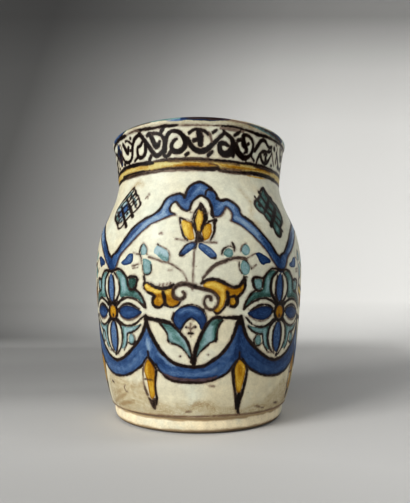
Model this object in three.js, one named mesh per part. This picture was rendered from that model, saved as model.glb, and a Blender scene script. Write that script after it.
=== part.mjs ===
import * as THREE from 'three';

// A thrown and painted tin-glazed earthenware jar: a barrel body on a turned foot ring,
// and a short flared neck with a rounded lip, luted on at the throat.
// The clay sections and the coats of glaze over them are separate solids.
// Sizes are millimetres, +Z is up, and the origin is the middle of the resting face.

// Heights, each stacked on the one before
const FOOT_HEIGHT = 11.5;
const BELLY_RISE = 106;
const SHOULDER_RISE = 72.5;
const THROAT_BAND_HEIGHT = 9;
const NECK_RISE = 24;
const LIP_HEIGHT = 7;

// Radii over the glaze. The foot's spread and the overhang step out from the tread.
const TREAD_RADIUS = 64.5;
const FOOT_SPREAD = 5.5;
const BELLY_OVERHANG = 2.9;
const GIRTH_RADIUS = 88;
const THROAT_RADIUS = 70.5;

// How the belly leaves the foot, swells to the girth and draws in to the throat
const BELLY_LEAN = 11.4;
const BELLY_LEAN_RISE = 26.5;
const GIRTH_STRAIGHT_BELOW = 5;
const GIRTH_STRAIGHT_ABOVE = 43;
const THROAT_LEAN = 4.4;
const THROAT_LEAN_DROP = 30;
const BELLY_ARRIS = 2.2;

// The neck opens by its flare, slowly at first, and a little more into the rounded lip
const NECK_FLARE = 4.2;
const NECK_SWEEP = 1.35;
const LIP_FLARE = 1.45;
const LIP_ROLL_RADIUS = 3;

// Wall, floor and glaze thicknesses. The walls include the glaze on both faces.
const BASE_WALL = 9.5;
const THROAT_WALL = 6.4;
const NECK_WALL = 5.6;
const FLOOR_THICKNESS = 9;
const FLOOR_CORNER = 15;
const GLAZE = 0.6;

// The foot ring, and how far the floor of the body drops into it
const TREAD_WIDTH = 5.4;
const TREAD_INNER_ARRIS = 1.6;
const FOOT_RECESS = 6;
const FOOT_LAND = 1.5;
const FOOT_BULGE = 0.7;

// The luted joint of neck to body is a bevel, hidden under the glaze of the throat band
const JOINT_ABOVE_THROAT = 3;
const JOINT_BEVEL_RISE = 4;

// Facets
const SEGMENTS = 44;
const FOOT_SIDE_STEPS = 5;
const FOOT_BARE_STEPS = 2;
const LOWER_BELLY_STEPS = 5;
const SHOULDER_STEPS = 7;
const NECK_STEPS = 3;
const INNER_LOWER_STEPS = 5;
const INNER_SHOULDER_STEPS = 3;
const CORNER_STEPS = 3;
const LIP_ROLL_ANGLES = [-20, 15, 50, 90, 135, 180];

const FOOT_BORE_RADIUS = TREAD_RADIUS - TREAD_WIDTH - TREAD_INNER_ARRIS;
const FOOT_SIDE_RADIUS = TREAD_RADIUS + FOOT_SPREAD;
const BELLY_BASE_RADIUS = FOOT_SIDE_RADIUS + BELLY_OVERHANG;
const GIRTH_Z = FOOT_HEIGHT + BELLY_RISE;
const THROAT_Z = GIRTH_Z + SHOULDER_RISE;
const JOINT_Z = THROAT_Z + JOINT_ABOVE_THROAT;
const INNER_JOINT_Z = JOINT_Z + JOINT_BEVEL_RISE;
const NECK_Z = THROAT_Z + THROAT_BAND_HEIGHT;
const LIP_Z = NECK_Z + NECK_RISE;
const TOP_Z = LIP_Z + LIP_HEIGHT;
const LIP_RADIUS = THROAT_RADIUS + NECK_FLARE + LIP_FLARE;
const FLOOR_Z = FOOT_RECESS + FLOOR_THICKNESS;

const CREAM_GLAZE = { color: 0xe2dccb, roughness: 0.22 };
const BLUE_WASH = { color: 0xa9b6bd, roughness: 0.22 };
const OCHRE_GLAZE = { color: 0xc89c32, roughness: 0.25 };
const BUFF_CLAY = { color: 0xb79a74, roughness: 0.85 };

const at = (radius, height) => new THREE.Vector2(radius, height);
const between = (points, first, last) => points.slice(first, last + 1);

// Unit vector to the left of the way from one point to the next
function leftOf(from, to) {
  const way = to.clone().sub(from).normalize();
  return at(-way.y, way.x);
}

// The outline moved to its left by a depth that may change from point to point,
// with mitred corners, so that the layer between the two keeps its thickness
function inset(outline, depthAt) {
  const last = outline.length - 1;
  return outline.map((point, i) => {
    const arriving = i > 0 ? leftOf(outline[i - 1], point) : leftOf(point, outline[1]);
    const leaving = i < last ? leftOf(point, outline[i + 1]) : arriving;
    const mitre = arriving.clone().add(leaving).normalize();
    return point.clone().addScaledVector(mitre, depthAt(point) / mitre.dot(arriving));
  });
}

// Belly and shoulder, from the top of the arris over the foot up to the throat
function bellyOutline(lowerSteps, shoulderSteps) {
  const start = at(BELLY_BASE_RADIUS, FOOT_HEIGHT + BELLY_ARRIS);
  const girth = at(GIRTH_RADIUS, GIRTH_Z);
  const lower = new THREE.CubicBezierCurve(
    start,
    at(start.x + BELLY_LEAN, start.y + BELLY_LEAN_RISE),
    at(GIRTH_RADIUS, GIRTH_Z - GIRTH_STRAIGHT_BELOW),
    girth,
  );
  const shoulder = new THREE.CubicBezierCurve(
    girth,
    at(GIRTH_RADIUS, GIRTH_Z + GIRTH_STRAIGHT_ABOVE),
    at(THROAT_RADIUS + THROAT_LEAN, THROAT_Z - THROAT_LEAN_DROP),
    at(THROAT_RADIUS, THROAT_Z),
  );
  return [...lower.getSpacedPoints(lowerSteps), ...shoulder.getSpacedPoints(shoulderSteps).slice(1)];
}

function neckPoint(height, depth = 0) {
  const share = (height - THROAT_Z) / (LIP_Z - THROAT_Z);
  return at(THROAT_RADIUS + NECK_FLARE * share ** NECK_SWEEP - depth, height);
}

// The belly's outside with its rounded lower arris, which starts on the underside
function bellyStretch() {
  const arris = new THREE.QuadraticBezierCurve(
    at(BELLY_BASE_RADIUS - BELLY_ARRIS, FOOT_HEIGHT),
    at(BELLY_BASE_RADIUS, FOOT_HEIGHT),
    at(BELLY_BASE_RADIUS, FOOT_HEIGHT + BELLY_ARRIS),
  );
  const underside = at(BELLY_BASE_RADIUS - BELLY_ARRIS - GLAZE, FOOT_HEIGHT);
  return [underside, ...arris.getPoints(2).slice(0, 2), ...bellyOutline(LOWER_BELLY_STEPS, SHOULDER_STEPS)];
}

function neckStretch() {
  const steps = Array.from({ length: NECK_STEPS }, (_, i) => (i + 1) / NECK_STEPS);
  return steps.map((share) => neckPoint(NECK_Z + NECK_RISE * share));
}

function lipStretch() {
  const middle = at(LIP_RADIUS - LIP_ROLL_RADIUS, TOP_Z - LIP_ROLL_RADIUS);
  return LIP_ROLL_ANGLES.map((degrees) => {
    const angle = THREE.MathUtils.degToRad(degrees);
    return at(Math.cos(angle), Math.sin(angle)).multiplyScalar(LIP_ROLL_RADIUS).add(middle);
  });
}

// The inside follows the outside at the wall's thickness, which thins on its way up,
// and rounds into a level floor
function insideStretch() {
  const neckHeights = [LIP_Z, (LIP_Z + INNER_JOINT_Z) / 2, INNER_JOINT_Z];
  const neck = neckHeights.map((height) => neckPoint(height, NECK_WALL));

  const thicknessAt = (point) =>
    THREE.MathUtils.mapLinear(point.y, FOOT_HEIGHT, THROAT_Z, BASE_WALL, THROAT_WALL);
  const wall = inset(bellyOutline(INNER_LOWER_STEPS, INNER_SHOULDER_STEPS), thicknessAt)
    .filter((point) => point.y > FLOOR_Z + FLOOR_CORNER)
    .reverse();

  const lowest = wall[wall.length - 1];
  const corner = new THREE.QuadraticBezierCurve(
    lowest,
    at(lowest.x - FLOOR_CORNER / 4, FLOOR_Z),
    at(lowest.x - FLOOR_CORNER * 1.5, FLOOR_Z),
  );
  return [...neck, ...wall, ...corner.getPoints(CORNER_STEPS).slice(1), at(0, FLOOR_Z)];
}

// A solid of revolution. The outline runs up the outside and down the inside, and either
// starts and ends on the axis or is closed here.
function revolve(outline) {
  const profile = outline[0].x > 0 ? [...outline, outline[0]] : outline;
  return new THREE.LatheGeometry(profile, SEGMENTS).rotateX(Math.PI / 2);
}

function piece(name, finish, geometry) {
  const mesh = new THREE.Mesh(geometry, new THREE.MeshStandardMaterial({ metalness: 0, ...finish }));
  mesh.name = name;
  return mesh;
}

function turned(name, finish, outline) {
  return piece(name, finish, revolve(outline));
}

// A coat of glaze is the layer between a glazed outline and the clay under it. Its outline
// takes the clay's way round, so that both share every facet, and its faces are turned over.
function coat(name, finish, clay, glazed) {
  const geometry = revolve([...glazed.slice().reverse(), ...clay]);
  const corners = geometry.index;
  for (let i = 0; i < corners.count; i += 3) {
    const first = corners.getX(i);
    corners.setX(i, corners.getX(i + 1));
    corners.setX(i + 1, first);
  }
  geometry.computeVertexNormals();
  return piece(name, finish, geometry);
}

// A bored ring with a rounded side, bare at the tread and glazed above it
function foot() {
  const side = new THREE.QuadraticBezierCurve(
    at(TREAD_RADIUS, 0),
    at(FOOT_SIDE_RADIUS + FOOT_BULGE, 0),
    at(FOOT_SIDE_RADIUS, FOOT_HEIGHT - FOOT_LAND),
  );
  const finished = [...side.getPoints(FOOT_SIDE_STEPS), at(FOOT_SIDE_RADIUS, FOOT_HEIGHT)];
  const glazeFrom = finished[FOOT_BARE_STEPS].y;
  const clay = inset(finished, (point) => (point.y < glazeFrom ? 0 : GLAZE));
  const bore = [
    at(FOOT_BORE_RADIUS, FOOT_HEIGHT),
    at(FOOT_BORE_RADIUS, FOOT_RECESS),
    at(FOOT_BORE_RADIUS, TREAD_INNER_ARRIS),
    at(FOOT_BORE_RADIUS + TREAD_INNER_ARRIS / 3, TREAD_INNER_ARRIS / 3),
    at(FOOT_BORE_RADIUS + TREAD_INNER_ARRIS, 0),
  ];
  return [
    turned('foot_ring', BUFF_CLAY, [...clay, ...bore]),
    coat('foot_glaze', CREAM_GLAZE, clay.slice(FOOT_BARE_STEPS), finished.slice(FOOT_BARE_STEPS)),
  ];
}

// Everything above the foot shares one glazed outline, up the outside, over the lip and down
// to the middle of the floor, and one clay outline under it, cut at the same places
function bodyAndNeck() {
  const belly = bellyStretch();
  const lip = lipStretch();
  const throat = [neckPoint(JOINT_Z), neckPoint(NECK_Z)];
  const glazed = [...belly, ...throat, ...neckStretch(), ...lip, ...insideStretch()];
  const clay = inset(glazed, () => GLAZE);

  const throatAt = belly.length - 1;
  const jointAt = throatAt + 1;
  const neckAt = jointAt + 1;
  const lipAt = neckAt + NECK_STEPS;
  const lipEnd = lipAt + lip.length;
  const innerJointAt = lipEnd + 3;
  const floorAt = glazed.length - 1;

  const spigot = [
    at(0, FOOT_RECESS),
    at(FOOT_BORE_RADIUS, FOOT_RECESS),
    at(FOOT_BORE_RADIUS, FOOT_HEIGHT),
    at(belly[0].x, FOOT_HEIGHT),
  ];
  const bodyOutline = [
    ...spigot,
    ...between(clay, 0, jointAt),
    ...between(clay, innerJointAt, floorAt),
  ];
  const coatOn = (name, finish, first, last) =>
    coat(name, finish, between(clay, first, last), between(glazed, first, last));

  return [
    turned('thrown_body', BUFF_CLAY, bodyOutline),
    turned('neck_collar', BUFF_CLAY, between(clay, jointAt, innerJointAt)),
    coatOn('belly_glaze', CREAM_GLAZE, 0, throatAt),
    coatOn('throat_glaze', OCHRE_GLAZE, throatAt, neckAt),
    coatOn('neck_glaze', CREAM_GLAZE, neckAt, lipAt),
    coatOn('lip_glaze', BLUE_WASH, lipAt, lipEnd),
    coatOn('lining_glaze', CREAM_GLAZE, lipEnd, floorAt),
  ];
}

const jar = new THREE.Group();
jar.add(...foot(), ...bodyAndNeck());

export default jar;
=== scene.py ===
import math
from collections import namedtuple
from functools import partial

import bmesh
import bpy
import numpy as np
from bpy.props import FloatProperty, FloatVectorProperty, IntProperty, PointerProperty
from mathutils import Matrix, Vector
from mathutils.geometry import interpolate_bezier


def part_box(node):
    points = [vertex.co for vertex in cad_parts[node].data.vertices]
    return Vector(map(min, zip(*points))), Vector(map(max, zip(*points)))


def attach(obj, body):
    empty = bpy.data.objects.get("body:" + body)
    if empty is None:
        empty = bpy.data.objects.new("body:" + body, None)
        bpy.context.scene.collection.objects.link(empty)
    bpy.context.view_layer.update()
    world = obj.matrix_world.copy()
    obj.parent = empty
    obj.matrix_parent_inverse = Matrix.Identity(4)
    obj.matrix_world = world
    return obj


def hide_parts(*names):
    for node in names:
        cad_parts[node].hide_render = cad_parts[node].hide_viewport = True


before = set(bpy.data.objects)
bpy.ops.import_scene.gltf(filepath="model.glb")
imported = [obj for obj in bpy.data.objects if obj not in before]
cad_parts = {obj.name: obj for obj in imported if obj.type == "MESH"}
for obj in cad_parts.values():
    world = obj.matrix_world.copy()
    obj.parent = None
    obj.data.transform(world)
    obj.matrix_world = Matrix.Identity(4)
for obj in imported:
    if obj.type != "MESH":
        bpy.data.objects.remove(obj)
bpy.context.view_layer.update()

bl_info = {
    "name": "Painted Earthenware Jar",
    "version": (1, 0, 0),
    "blender": (4, 5, 0),
    "location": "3D View > Sidebar > Jar",
    "description": "A thrown, tin-glazed and painted jar on its foot ring",
    "category": "Object",
}

MM = 0.001
FULL_TURN = 2 * math.pi

# Keeps the belly's widest row inside the box of the CAD
CLEARANCE = 0.000003

# Height of a row of faces on a painted coat, and faces round a plain piece
MESH_STEP = 0.0016
PLAIN_TURNS = 176

# Edges that turn by less than this are smooth, and the bake maps start at the seam's angle
SMOOTH_BELOW = math.radians(40)
SEAM = math.radians(45)
AT_AXIS = 1e-7

# The painting is laid out on a chart of the outside, in millimetres: along it the angle
# from the front times CHART_RADIUS, and up it the height above the table.
CHART_RADIUS = 87.0
CHART_LENGTH = FULL_TURN * CHART_RADIUS
PIGMENTS = ("dirt", "ochre", "copper", "cobalt", "manganese")

# The distance that is noted where no mark is near, and how far from a mark it is measured
FAR = 9.0
REACH = 5

# Where the four panels round the belly, the four rosettes between them and the three lengths of
# scroll on the neck are centred, and how wide a panel or scroll is beside the front one
FRONT_CENTRE = -2.4
PANELS = ((-2.4, 1.0), (135.3, 0.97), (270.9, 0.97), (-140.1, 0.97))
ROSETTES = (-72.3, 67.5, 203.1, -207.9)
SCROLL_CENTRE = 5.5
SCROLLS = ((5.5, 1.0), (189.9, 0.98), (-175.5, 0.98))

Mark = namedtuple("Mark", "pigment tone widths points")


def wash(pigment, tone, *points):
    """An area filled with a pigment inside a smooth outline."""
    return Mark(pigment, tone, None, points)


def streak(pigment, tone, widths, *points):
    """A brush stroke through the points, with one width or several at even steps along it."""
    return Mark(pigment, tone, widths if isinstance(widths, tuple) else (widths,), points)


# Strokes by pigment. A full line in manganese is dark, and a thin one brown.
dirt, ochre, copper, cobalt, line = (partial(streak, name) for name in PIGMENTS)
dark, brown = partial(line, 1.0), partial(line, 0.45)


SCROLL_BAND = (
    dark((2, 2, 2.2, 2.6, 2.6, 2), (-94, 214), (-89, 210), (-85, 206.2), (-80, 204), (-75.5, 203.8),
         (-71.5, 206), (-69.6, 209.5), (-69, 213), (-67, 216.8), (-64.5, 219.5), (-61, 221),
         (-57.5, 221.8)),
    dark((1.5, 1.2, 2), (-79.5, 220.8), (-76, 220.6), (-71.5, 218.2), (-68, 215.5)),
    dark((2.4, 3, 2.4), (-85, 219.5), (-82.5, 217), (-80, 213.5), (-77, 211.3), (-75.4, 214.5)),
    dark(1.6, (-72.5, 212.3), (-69.5, 211.5)),
    dark(1.5, (-71, 221.8), (-70, 221.2)),
    dark(1.8, (-87, 204), (-84, 203)),
    dark((2.6, 3, 2.8, 2.2, 1.3), (-57.5, 222.3), (-55, 220), (-52.5, 217), (-50, 214), (-47.5, 211.5),
         (-45.5, 208.5), (-43, 205.5), (-40, 203.3), (-36.5, 203.8), (-33, 206), (-31.5, 209.5),
         (-31, 213), (-32, 216), (-35, 218.5), (-39, 219.7), (-43, 220.3), (-46.5, 220.9)),
    dark((2.6, 2.4, 2, 1.8), (-51, 214.5), (-51.3, 210), (-53, 206), (-57, 204), (-61, 205.3),
         (-62.2, 209), (-61.5, 212.3), (-59, 213), (-57, 213.7), (-54.5, 215.7)),
    dark((2, 3.2, 3.5, 2.2), (-48.5, 219.3), (-46, 220), (-44, 217.5), (-42.5, 214.5), (-40.5, 211.3),
         (-38.5, 210.2), (-36.5, 211.3), (-35.8, 213)),
    dark(1.8, (-67, 202.8), (-62.5, 205)),
    dark(2.5, (-47.5, 201), (-45.5, 203.5)),
    dark(2.2, (-32.5, 203.5), (-29.5, 201.5)),
    dark(2.5, (-33.5, 220.5), (-31, 223.5)),
    dark(2.3, (-27.5, 202.3), (-25, 205)),
    dark((3.5, 1.6, 3.2, 2.8, 1.5), (-31, 206), (-30.2, 211), (-28.5, 216), (-26.3, 218.5),
         (-23.5, 219.8), (-20, 219.7), (-17, 219), (-14.3, 216.8), (-12, 214), (-11, 211), (-12.5, 207.5),
         (-16, 205), (-20, 204.5), (-23.3, 206), (-24.3, 209), (-23, 211.5), (-20.7, 213.3),
         (-19, 213.9)),
    dark(2, (-11, 201.8), (-8.8, 203)),
    dark((2.8, 3.2, 2.2), (-10.5, 213.5), (-9, 213), (-7, 209.5), (-4, 206.5), (0, 204.8), (4, 204.5),
         (8, 205.5), (12, 208.5), (15, 211), (18, 214), (21, 216.5), (23.5, 218.5)),
    brown(1.5, (9.5, 218), (11.5, 214.5), (12.5, 211.5)),
    dark(1.8, (-7.5, 217.8), (-5, 219.3), (-2.5, 220.2), (1, 219.7), (5, 219.3), (7.5, 218), (9, 216.8)),
    dark((3, 4.5, 3.3), (0.5, 219), (1.5, 216), (2, 213), (2, 209.3)),
    dark(2.3, (-3.7, 212.3), (-0.5, 213)),
    dark(2.2, (9, 201.5), (13, 204)),
    dark(1.6, (13.2, 218), (16.5, 220)),
    dark((1.2, 2.5, 5, 3.5, 3, 1.8), (22, 220.7), (25, 218.3), (29, 216), (31.8, 213), (32.3, 208.5),
         (29.5, 204.7), (25, 203), (21, 204.3), (19.5, 207.5), (20.3, 210.5), (24, 211), (27.5, 209.6)),
    dark(3, (33, 208), (36, 206.2), (39, 203.7), (42.5, 202.2), (46, 201.9)),
    dark(2.2, (32.7, 202.3), (33.5, 203.8)),
    dark(2, (33.3, 217.7), (36, 219.5), (38.7, 221.7)),
    dark((1.6, 2, 2.6), (42.5, 219), (46, 219.3), (49.5, 218.5), (52.5, 216.3), (54, 213), (53.5, 209),
         (51.5, 205.5), (48.5, 203.3), (44, 202.4)),
    dark(2.6, (35, 211.5), (37.5, 207.5), (40, 204.8), (44, 202.6)),
    dark((2.6, 3, 4, 3, 2.5, 1.5), (42.5, 218.5), (42.3, 215.5), (43.2, 212.3), (45.5, 210.3),
         (46.8, 207.5), (44.5, 205.9)),
    dark(2, (36.5, 214.4), (42, 215.2)),
    dark(1.6, (45.5, 211.5), (48.6, 213.4)),
    dark(1.8, (56.2, 201.4), (53, 204)),
    dark((2.6, 2.4, 1.7, 2.2), (56.4, 209.6), (59.5, 213.5), (62.6, 217.3), (66, 219.2), (70.3, 218.5),
         (73.4, 216.4), (77.2, 215.4), (80.7, 216.4)),
    dark((1.3, 1.6, 2, 1.5, 1.6), (59.5, 199.8), (60, 201.8), (61.8, 205.4), (64.5, 208.8), (68, 210.8),
         (72, 211.2), (77, 211.9), (81, 213.6)),
    dark((1.6, 2.2, 2, 1.4), (64.4, 207.6), (66.3, 204), (69.5, 202), (73.4, 202.2), (76.5, 204.2),
         (79.5, 207.7), (82.4, 212)),
    dark((1.4, 2), (69.5, 208.4), (71.8, 209.6), (73.6, 209.4)),
    dark((2, 2.8), (72.2, 206.8), (72.6, 204.8)),
    dark(2, (76.2, 212.8), (78, 212.4)),
    dark(2.4, (86, 216.6), (87, 216.2)),
    brown((1, 1.3, 1), (83.2, 211.8), (85.7, 207.4), (89.5, 203.2)),
    brown((1, 1.6, 2.2), (93.6, 218), (93.6, 212), (93, 206.8)),
    dark(1.5, (82.6, 202.2), (84.4, 202.4)),
    brown(1.3, (89, 220.4), (91, 220.2)),
)

# The edges of the arch that its wash and its outlines share
ARCH_LEFT = ((-67, 130), (-65, 132), (-61, 136.5), (-57, 141), (-53, 145.5), (-49, 149), (-45, 151.5),
             (-41, 153.7), (-37, 155), (-33, 157.5), (-30, 160.5), (-28.5, 164), (-27.5, 167),
             (-25, 169.3), (-22, 170.6), (-18, 171.6), (-15, 171.8), (-12.5, 170.5), (-11, 169))
ARCH_CROWN = ((-10.2, 171), (-9.5, 174), (-7.5, 177), (-4, 179.5), (0, 180.8), (2, 181), (5, 180),
              (9, 177.8), (12.5, 175), (15.5, 171.5))
ARCH_RIGHT = ((16.2, 168.8), (17.5, 167), (19.5, 166.2), (22, 167), (25, 167.3), (28, 166), (31, 164),
              (33.5, 161), (34, 157), (35, 155), (38, 153.5), (42, 150.5), (46, 147), (50, 143),
              (54, 139), (58, 135), (61, 131), (64, 128))
ARCH_UNDER_RIGHT = ((58, 123.5), (55, 127), (52, 130.5), (48, 134.5), (44, 138), (40, 141.5), (36, 144.5),
                    (32, 147.5), (28, 149.2), (24.7, 150.6))
ARCH_NOTCH = ((24.7, 150.6), (26, 153), (26.3, 156.5), (24.5, 159.5), (22.7, 160.9))
ARCH_UNDER_CROWN = ((9, 166), (6, 168.5), (3, 169.8), (1, 169.3), (-2, 167), (-4.5, 164), (-5.7, 161),
                    (-6, 158.7), (-8, 157.6), (-11, 158.5), (-14, 161), (-17, 164.5), (-18.5, 165),
                    (-21, 163), (-22, 160), (-21, 157.5), (-18, 155.8), (-16.3, 154.7))
ARCH_UNDER_LEFT = ((-16.3, 154.7), (-20, 154.2), (-25, 152.3), (-30, 150.5), (-35, 149), (-38, 146.5),
                   (-42, 143.5), (-45, 141), (-49, 137.5), (-53, 134), (-57, 131), (-60, 128.5),
                   (-62.5, 125.8))

ARCH = (
    wash("cobalt", 0.62, (-72.3, 115.5), (-72.3, 126), *ARCH_LEFT, (-11, 169), *ARCH_CROWN, (16.2, 168.8),
         *ARCH_RIGHT, (67.5, 125.5), (67.5, 116.5), (62.5, 118.5), *ARCH_UNDER_RIGHT, *ARCH_NOTCH,
         (22.7, 160.9), (21, 158.3), (19, 155.5), (16, 153.3), (12.5, 152.9), (10.8, 153.8), (10.3, 158),
         (10.2, 163), *ARCH_UNDER_CROWN, *ARCH_UNDER_LEFT, (-65.5, 120.5), (-68, 116.5)),
    cobalt(0.3, (2, 3.5, 2), (-60, 130.5), (-52, 138.5), (-45, 144.5)),
    cobalt(0.1, (2, 6, 2), (-46, 144), (-38, 150), (-31, 153), (-24, 155.5)),
    cobalt(0.1, (3, 4, 2), (-27, 158), (-25.5, 162.5), (-24, 166)),
    cobalt(0.45, (1.5, 4, 1.5), (-5, 171), (2, 174.8), (8, 172.5)),
    cobalt(0.3, (1.5, 3, 1.5), (17, 161), (21, 164), (27, 162.5), (29.5, 157)),
    cobalt(0.15, (2, 4.5, 3), (28, 153.5), (35, 150), (43, 143.5), (50, 136.5)),
    cobalt(0.9, (2, 3, 2), (-66, 129.5), (-58, 137), (-51, 143.5), (-45, 148)),
    cobalt(0.95, (2, 3.4, 2), (-10, 166), (-6, 172), (-3, 177)),
    cobalt(0.85, (2, 3, 2), (11.5, 172), (12.5, 166), (12.8, 159)),
    cobalt(0.85, (2, 3.4, 3), (48, 140), (56, 132.5), (63, 125.5)),
    cobalt(0.72, (4, 5), (-70, 124), (-71, 117)),
    cobalt(1.0, (4, 7), (64.5, 123.5), (67, 118)),
    dark((2, 2.2, 2.2), (-72, 127.5), *ARCH_LEFT),
    dark((2.4, 2, 2.4), (-11, 168.6), *ARCH_CROWN, (16.2, 168.4)),
    dark((2.4, 2.2, 2.2), *ARCH_RIGHT, (67.3, 126.3)),
    brown((1.8, 1.3, 1.3), (-67, 117), (-65, 120.5), *ARCH_UNDER_LEFT[::-1]),
    dark((1.3, 1.7, 2, 2), *ARCH_UNDER_CROWN[::-1]),
    dark((2.2, 3, 2.4), (9, 166), (10.9, 160), (10.9, 155), (12, 153.2)),
    brown((1.6, 2.2, 1.4), (12, 153), (16, 153.3), (19, 155.5), (21, 158.3), *ARCH_NOTCH[::-1]),
    brown((1.2, 1.1, 1.6), *ARCH_UNDER_RIGHT[::-1], (61, 120.5), (62.5, 118.5)),
    dark(1.5, (6.5, 170.5), (7, 173), (9, 174.8), (12, 174)),
    dark(2.2, (15.4, 167.8), (15.7, 167.2)),
)

TULIP = (
    wash("ochre", 0.28, (2.3, 160), (-1.5, 155), (-2.8, 149), (-1.6, 144.5), (-0.2, 140.5), (1.6, 141.5),
         (3.8, 146), (5.4, 151), (4.8, 155.5)),
    ochre(0.6, (1.5, 2, 1.5), (3.4, 155), (3.6, 150), (2.4, 145.5)),
    wash("ochre", 0.32, (-10.6, 150.8), (-8, 149.8), (-4.2, 148.5), (-2.9, 143), (-2, 138.5),
         (-2.6, 136.2), (-6, 136), (-8, 139), (-9.6, 143.5)),
    ochre(0.0, (2, 3, 2), (-11, 149), (-9.6, 144), (-8.3, 139.5)),
    ochre(0.62, (1.6, 2.4, 1.6), (-4.8, 147.5), (-4.2, 142), (-4.4, 137.5)),
    wash("ochre", 0.45, (4.8, 147.6), (8, 148.2), (10, 147.4), (10.2, 143.5), (9.2, 139.5), (7.6, 136.5),
         (3.6, 135.8), (3.4, 140), (3.2, 143.5)),
    ochre(0.66, (1.6, 2.6, 1.6), (9, 146.5), (9, 142), (7.6, 138)),
    wash("manganese", 0.72, (-1, 143), (1.6, 141.8), (3.6, 139), (4.9, 136), (3.4, 134.2), (-0.8, 134.6),
         (-1.3, 138.5)),
    dark((2, 2.2, 2.4, 1.8), (-1, 135), (-0.5, 139), (-1.4, 142.5), (-3, 146), (-3.8, 149), (-3.3, 153),
         (-1.5, 157), (0.8, 160.5), (2.3, 163.8)),
    dark((1.8, 2.6, 2.4, 2.2), (2.3, 163.8), (4, 161.5), (5.7, 158), (6.6, 154.5), (6.2, 151),
         (4.8, 147.5), (3, 143.5), (1.5, 139.5), (0.5, 135.5)),
    dark((3.8, 2.4), (2.2, 161), (2.6, 158)),
    dark((1.4, 2.6, 2.6, 1.6), (-0.4, 156.6), (-2.2, 152), (-2.2, 148), (-0.9, 143.4)),
    dark((1.6, 2.6, 2.8, 2), (4.2, 158), (5.2, 153.4), (4.6, 149), (2.8, 144.4)),
    brown(1.1, (-5.8, 156.4), (-1, 156)),
    brown(1.1, (3.5, 155.6), (7.8, 155.9)),
    dark((1.7, 1.5, 1.7), (-13.2, 152.6), (-12.7, 149), (-11.6, 144.5), (-10.4, 140.5), (-8.6, 137.5),
         (-6.3, 135.3)),
    dark((2, 1.3, 1.3), (-13, 152.5), (-9, 150.9), (-6, 149.8), (-4, 148.7)),
    dark((3.6, 2.8, 2.4, 1.8), (13.2, 150.4), (12.2, 148.5), (12.2, 144), (11.2, 140), (9, 136)),
    dark((2, 1.5), (12.5, 150.8), (9.5, 149.8), (7, 148.2), (5, 146.2)),
    brown((1.4, 0.8), (-15.2, 137), (-9.5, 135.6)),
    brown(1.1, (-9, 136.3), (-6.5, 134.9), (-2, 134.4)),
    brown((1.5, 0.8), (13.3, 134.1), (6.5, 134.3), (1, 134.3)),
    wash("cobalt", 0.4, (-0.3, 134.4), (-5, 134.3), (-8, 132.5), (-11, 129), (-12.6, 126), (-11.8, 124.5),
         (-10, 124.8), (-6, 127.3), (-2.2, 130.5)),
    cobalt(0.9, (1.4, 2, 1), (-11.6, 125.6), (-7, 128.2), (-2, 131.6)),
    wash("cobalt", 0.48, (0.6, 130.5), (1.4, 133.8), (5, 133), (9, 130.7), (12, 127.7), (13.5, 125),
         (12.2, 123), (9.5, 122.8), (6, 125.3), (2.6, 128)),
    cobalt(0.9, (2, 1.6, 1), (12.4, 124), (7.5, 126), (2.4, 130)),
    dark((1.8, 1.2), (-12.3, 125.2), (-9.2, 125.2)),
    dark(1.3, (-12.3, 126.6), (-9, 131.6), (-5, 134), (-1, 134.3)),
    dark((1.8, 1.2), (12.6, 123.3), (9.6, 123.3)),
    dark(1.4, (-0.6, 134.4), (-0.9, 131.5), (-2.3, 129.5)),
    brown(1.1, (-1.2, 131), (-2.3, 127), (-2.5, 121), (-2.8, 116), (-3, 110), (-3.3, 104.5)),
)

LEFT_BUDS = (
    brown((1.3, 1.7, 2.4), (-6.5, 106), (-7.5, 109), (-9, 112), (-10.5, 114), (-14, 116.5), (-17, 118.7),
          (-20, 120), (-25, 121.2), (-28, 122.5), (-31, 123.3), (-35, 124.7)),
    wash("copper", 0.25, (-40, 134.5), (-42.3, 130), (-41, 126), (-37.3, 126.8), (-36.7, 130),
         (-38, 133)),
    dark((1.2, 1.5), (-40, 135), (-42.3, 131.5), (-42.8, 128), (-41.5, 124.5), (-40.8, 120.5)),
    brown(1, (-40, 135), (-37.8, 132.6), (-36.4, 129.8), (-36.8, 126.6)),
    wash("copper", 0.36, (-39.5, 124), (-35, 122.5), (-33, 120.5), (-32.5, 115.5), (-34, 113),
         (-37.7, 112.5), (-39.5, 115), (-39.8, 120)),
    dark((1.1, 1.8, 1.1), (-33.2, 119), (-32.8, 115), (-34.5, 112.6), (-38, 112.3), (-39.8, 115),
         (-40, 119)),
    wash("copper", 0.05, (-31.3, 127.6), (-30.5, 130.6), (-28.5, 132.6), (-25, 131), (-21.4, 128.8),
         (-19.9, 125.7), (-20.2, 121.3), (-24, 121.7), (-28, 125)),
    copper(0.6, (2, 3, 2), (-21.6, 122.8), (-23.5, 124), (-27, 126.2)),
    dark((2, 1), (-28.5, 133.4), (-26, 132)),
    brown(1, (-26, 132), (-21, 129.3), (-19.5, 126), (-19.6, 123), (-20, 120.5)),
    wash("cobalt", 0.62, (-60.5, 121.3), (-59, 123), (-56.5, 124.5), (-54, 127), (-52, 128), (-49, 127.8),
         (-48.3, 125), (-49, 122), (-51.5, 120.2), (-57.5, 119.8)),
    brown(1.3, (-48.5, 128.3), (-43, 126.5)),
    brown(1.3, (-49, 118.8), (-43.5, 119.7)),
    brown(0.9, (-49, 117), (-44, 117.5)),
    brown(1.1, (-20, 115), (-17.5, 115)),
)

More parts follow.
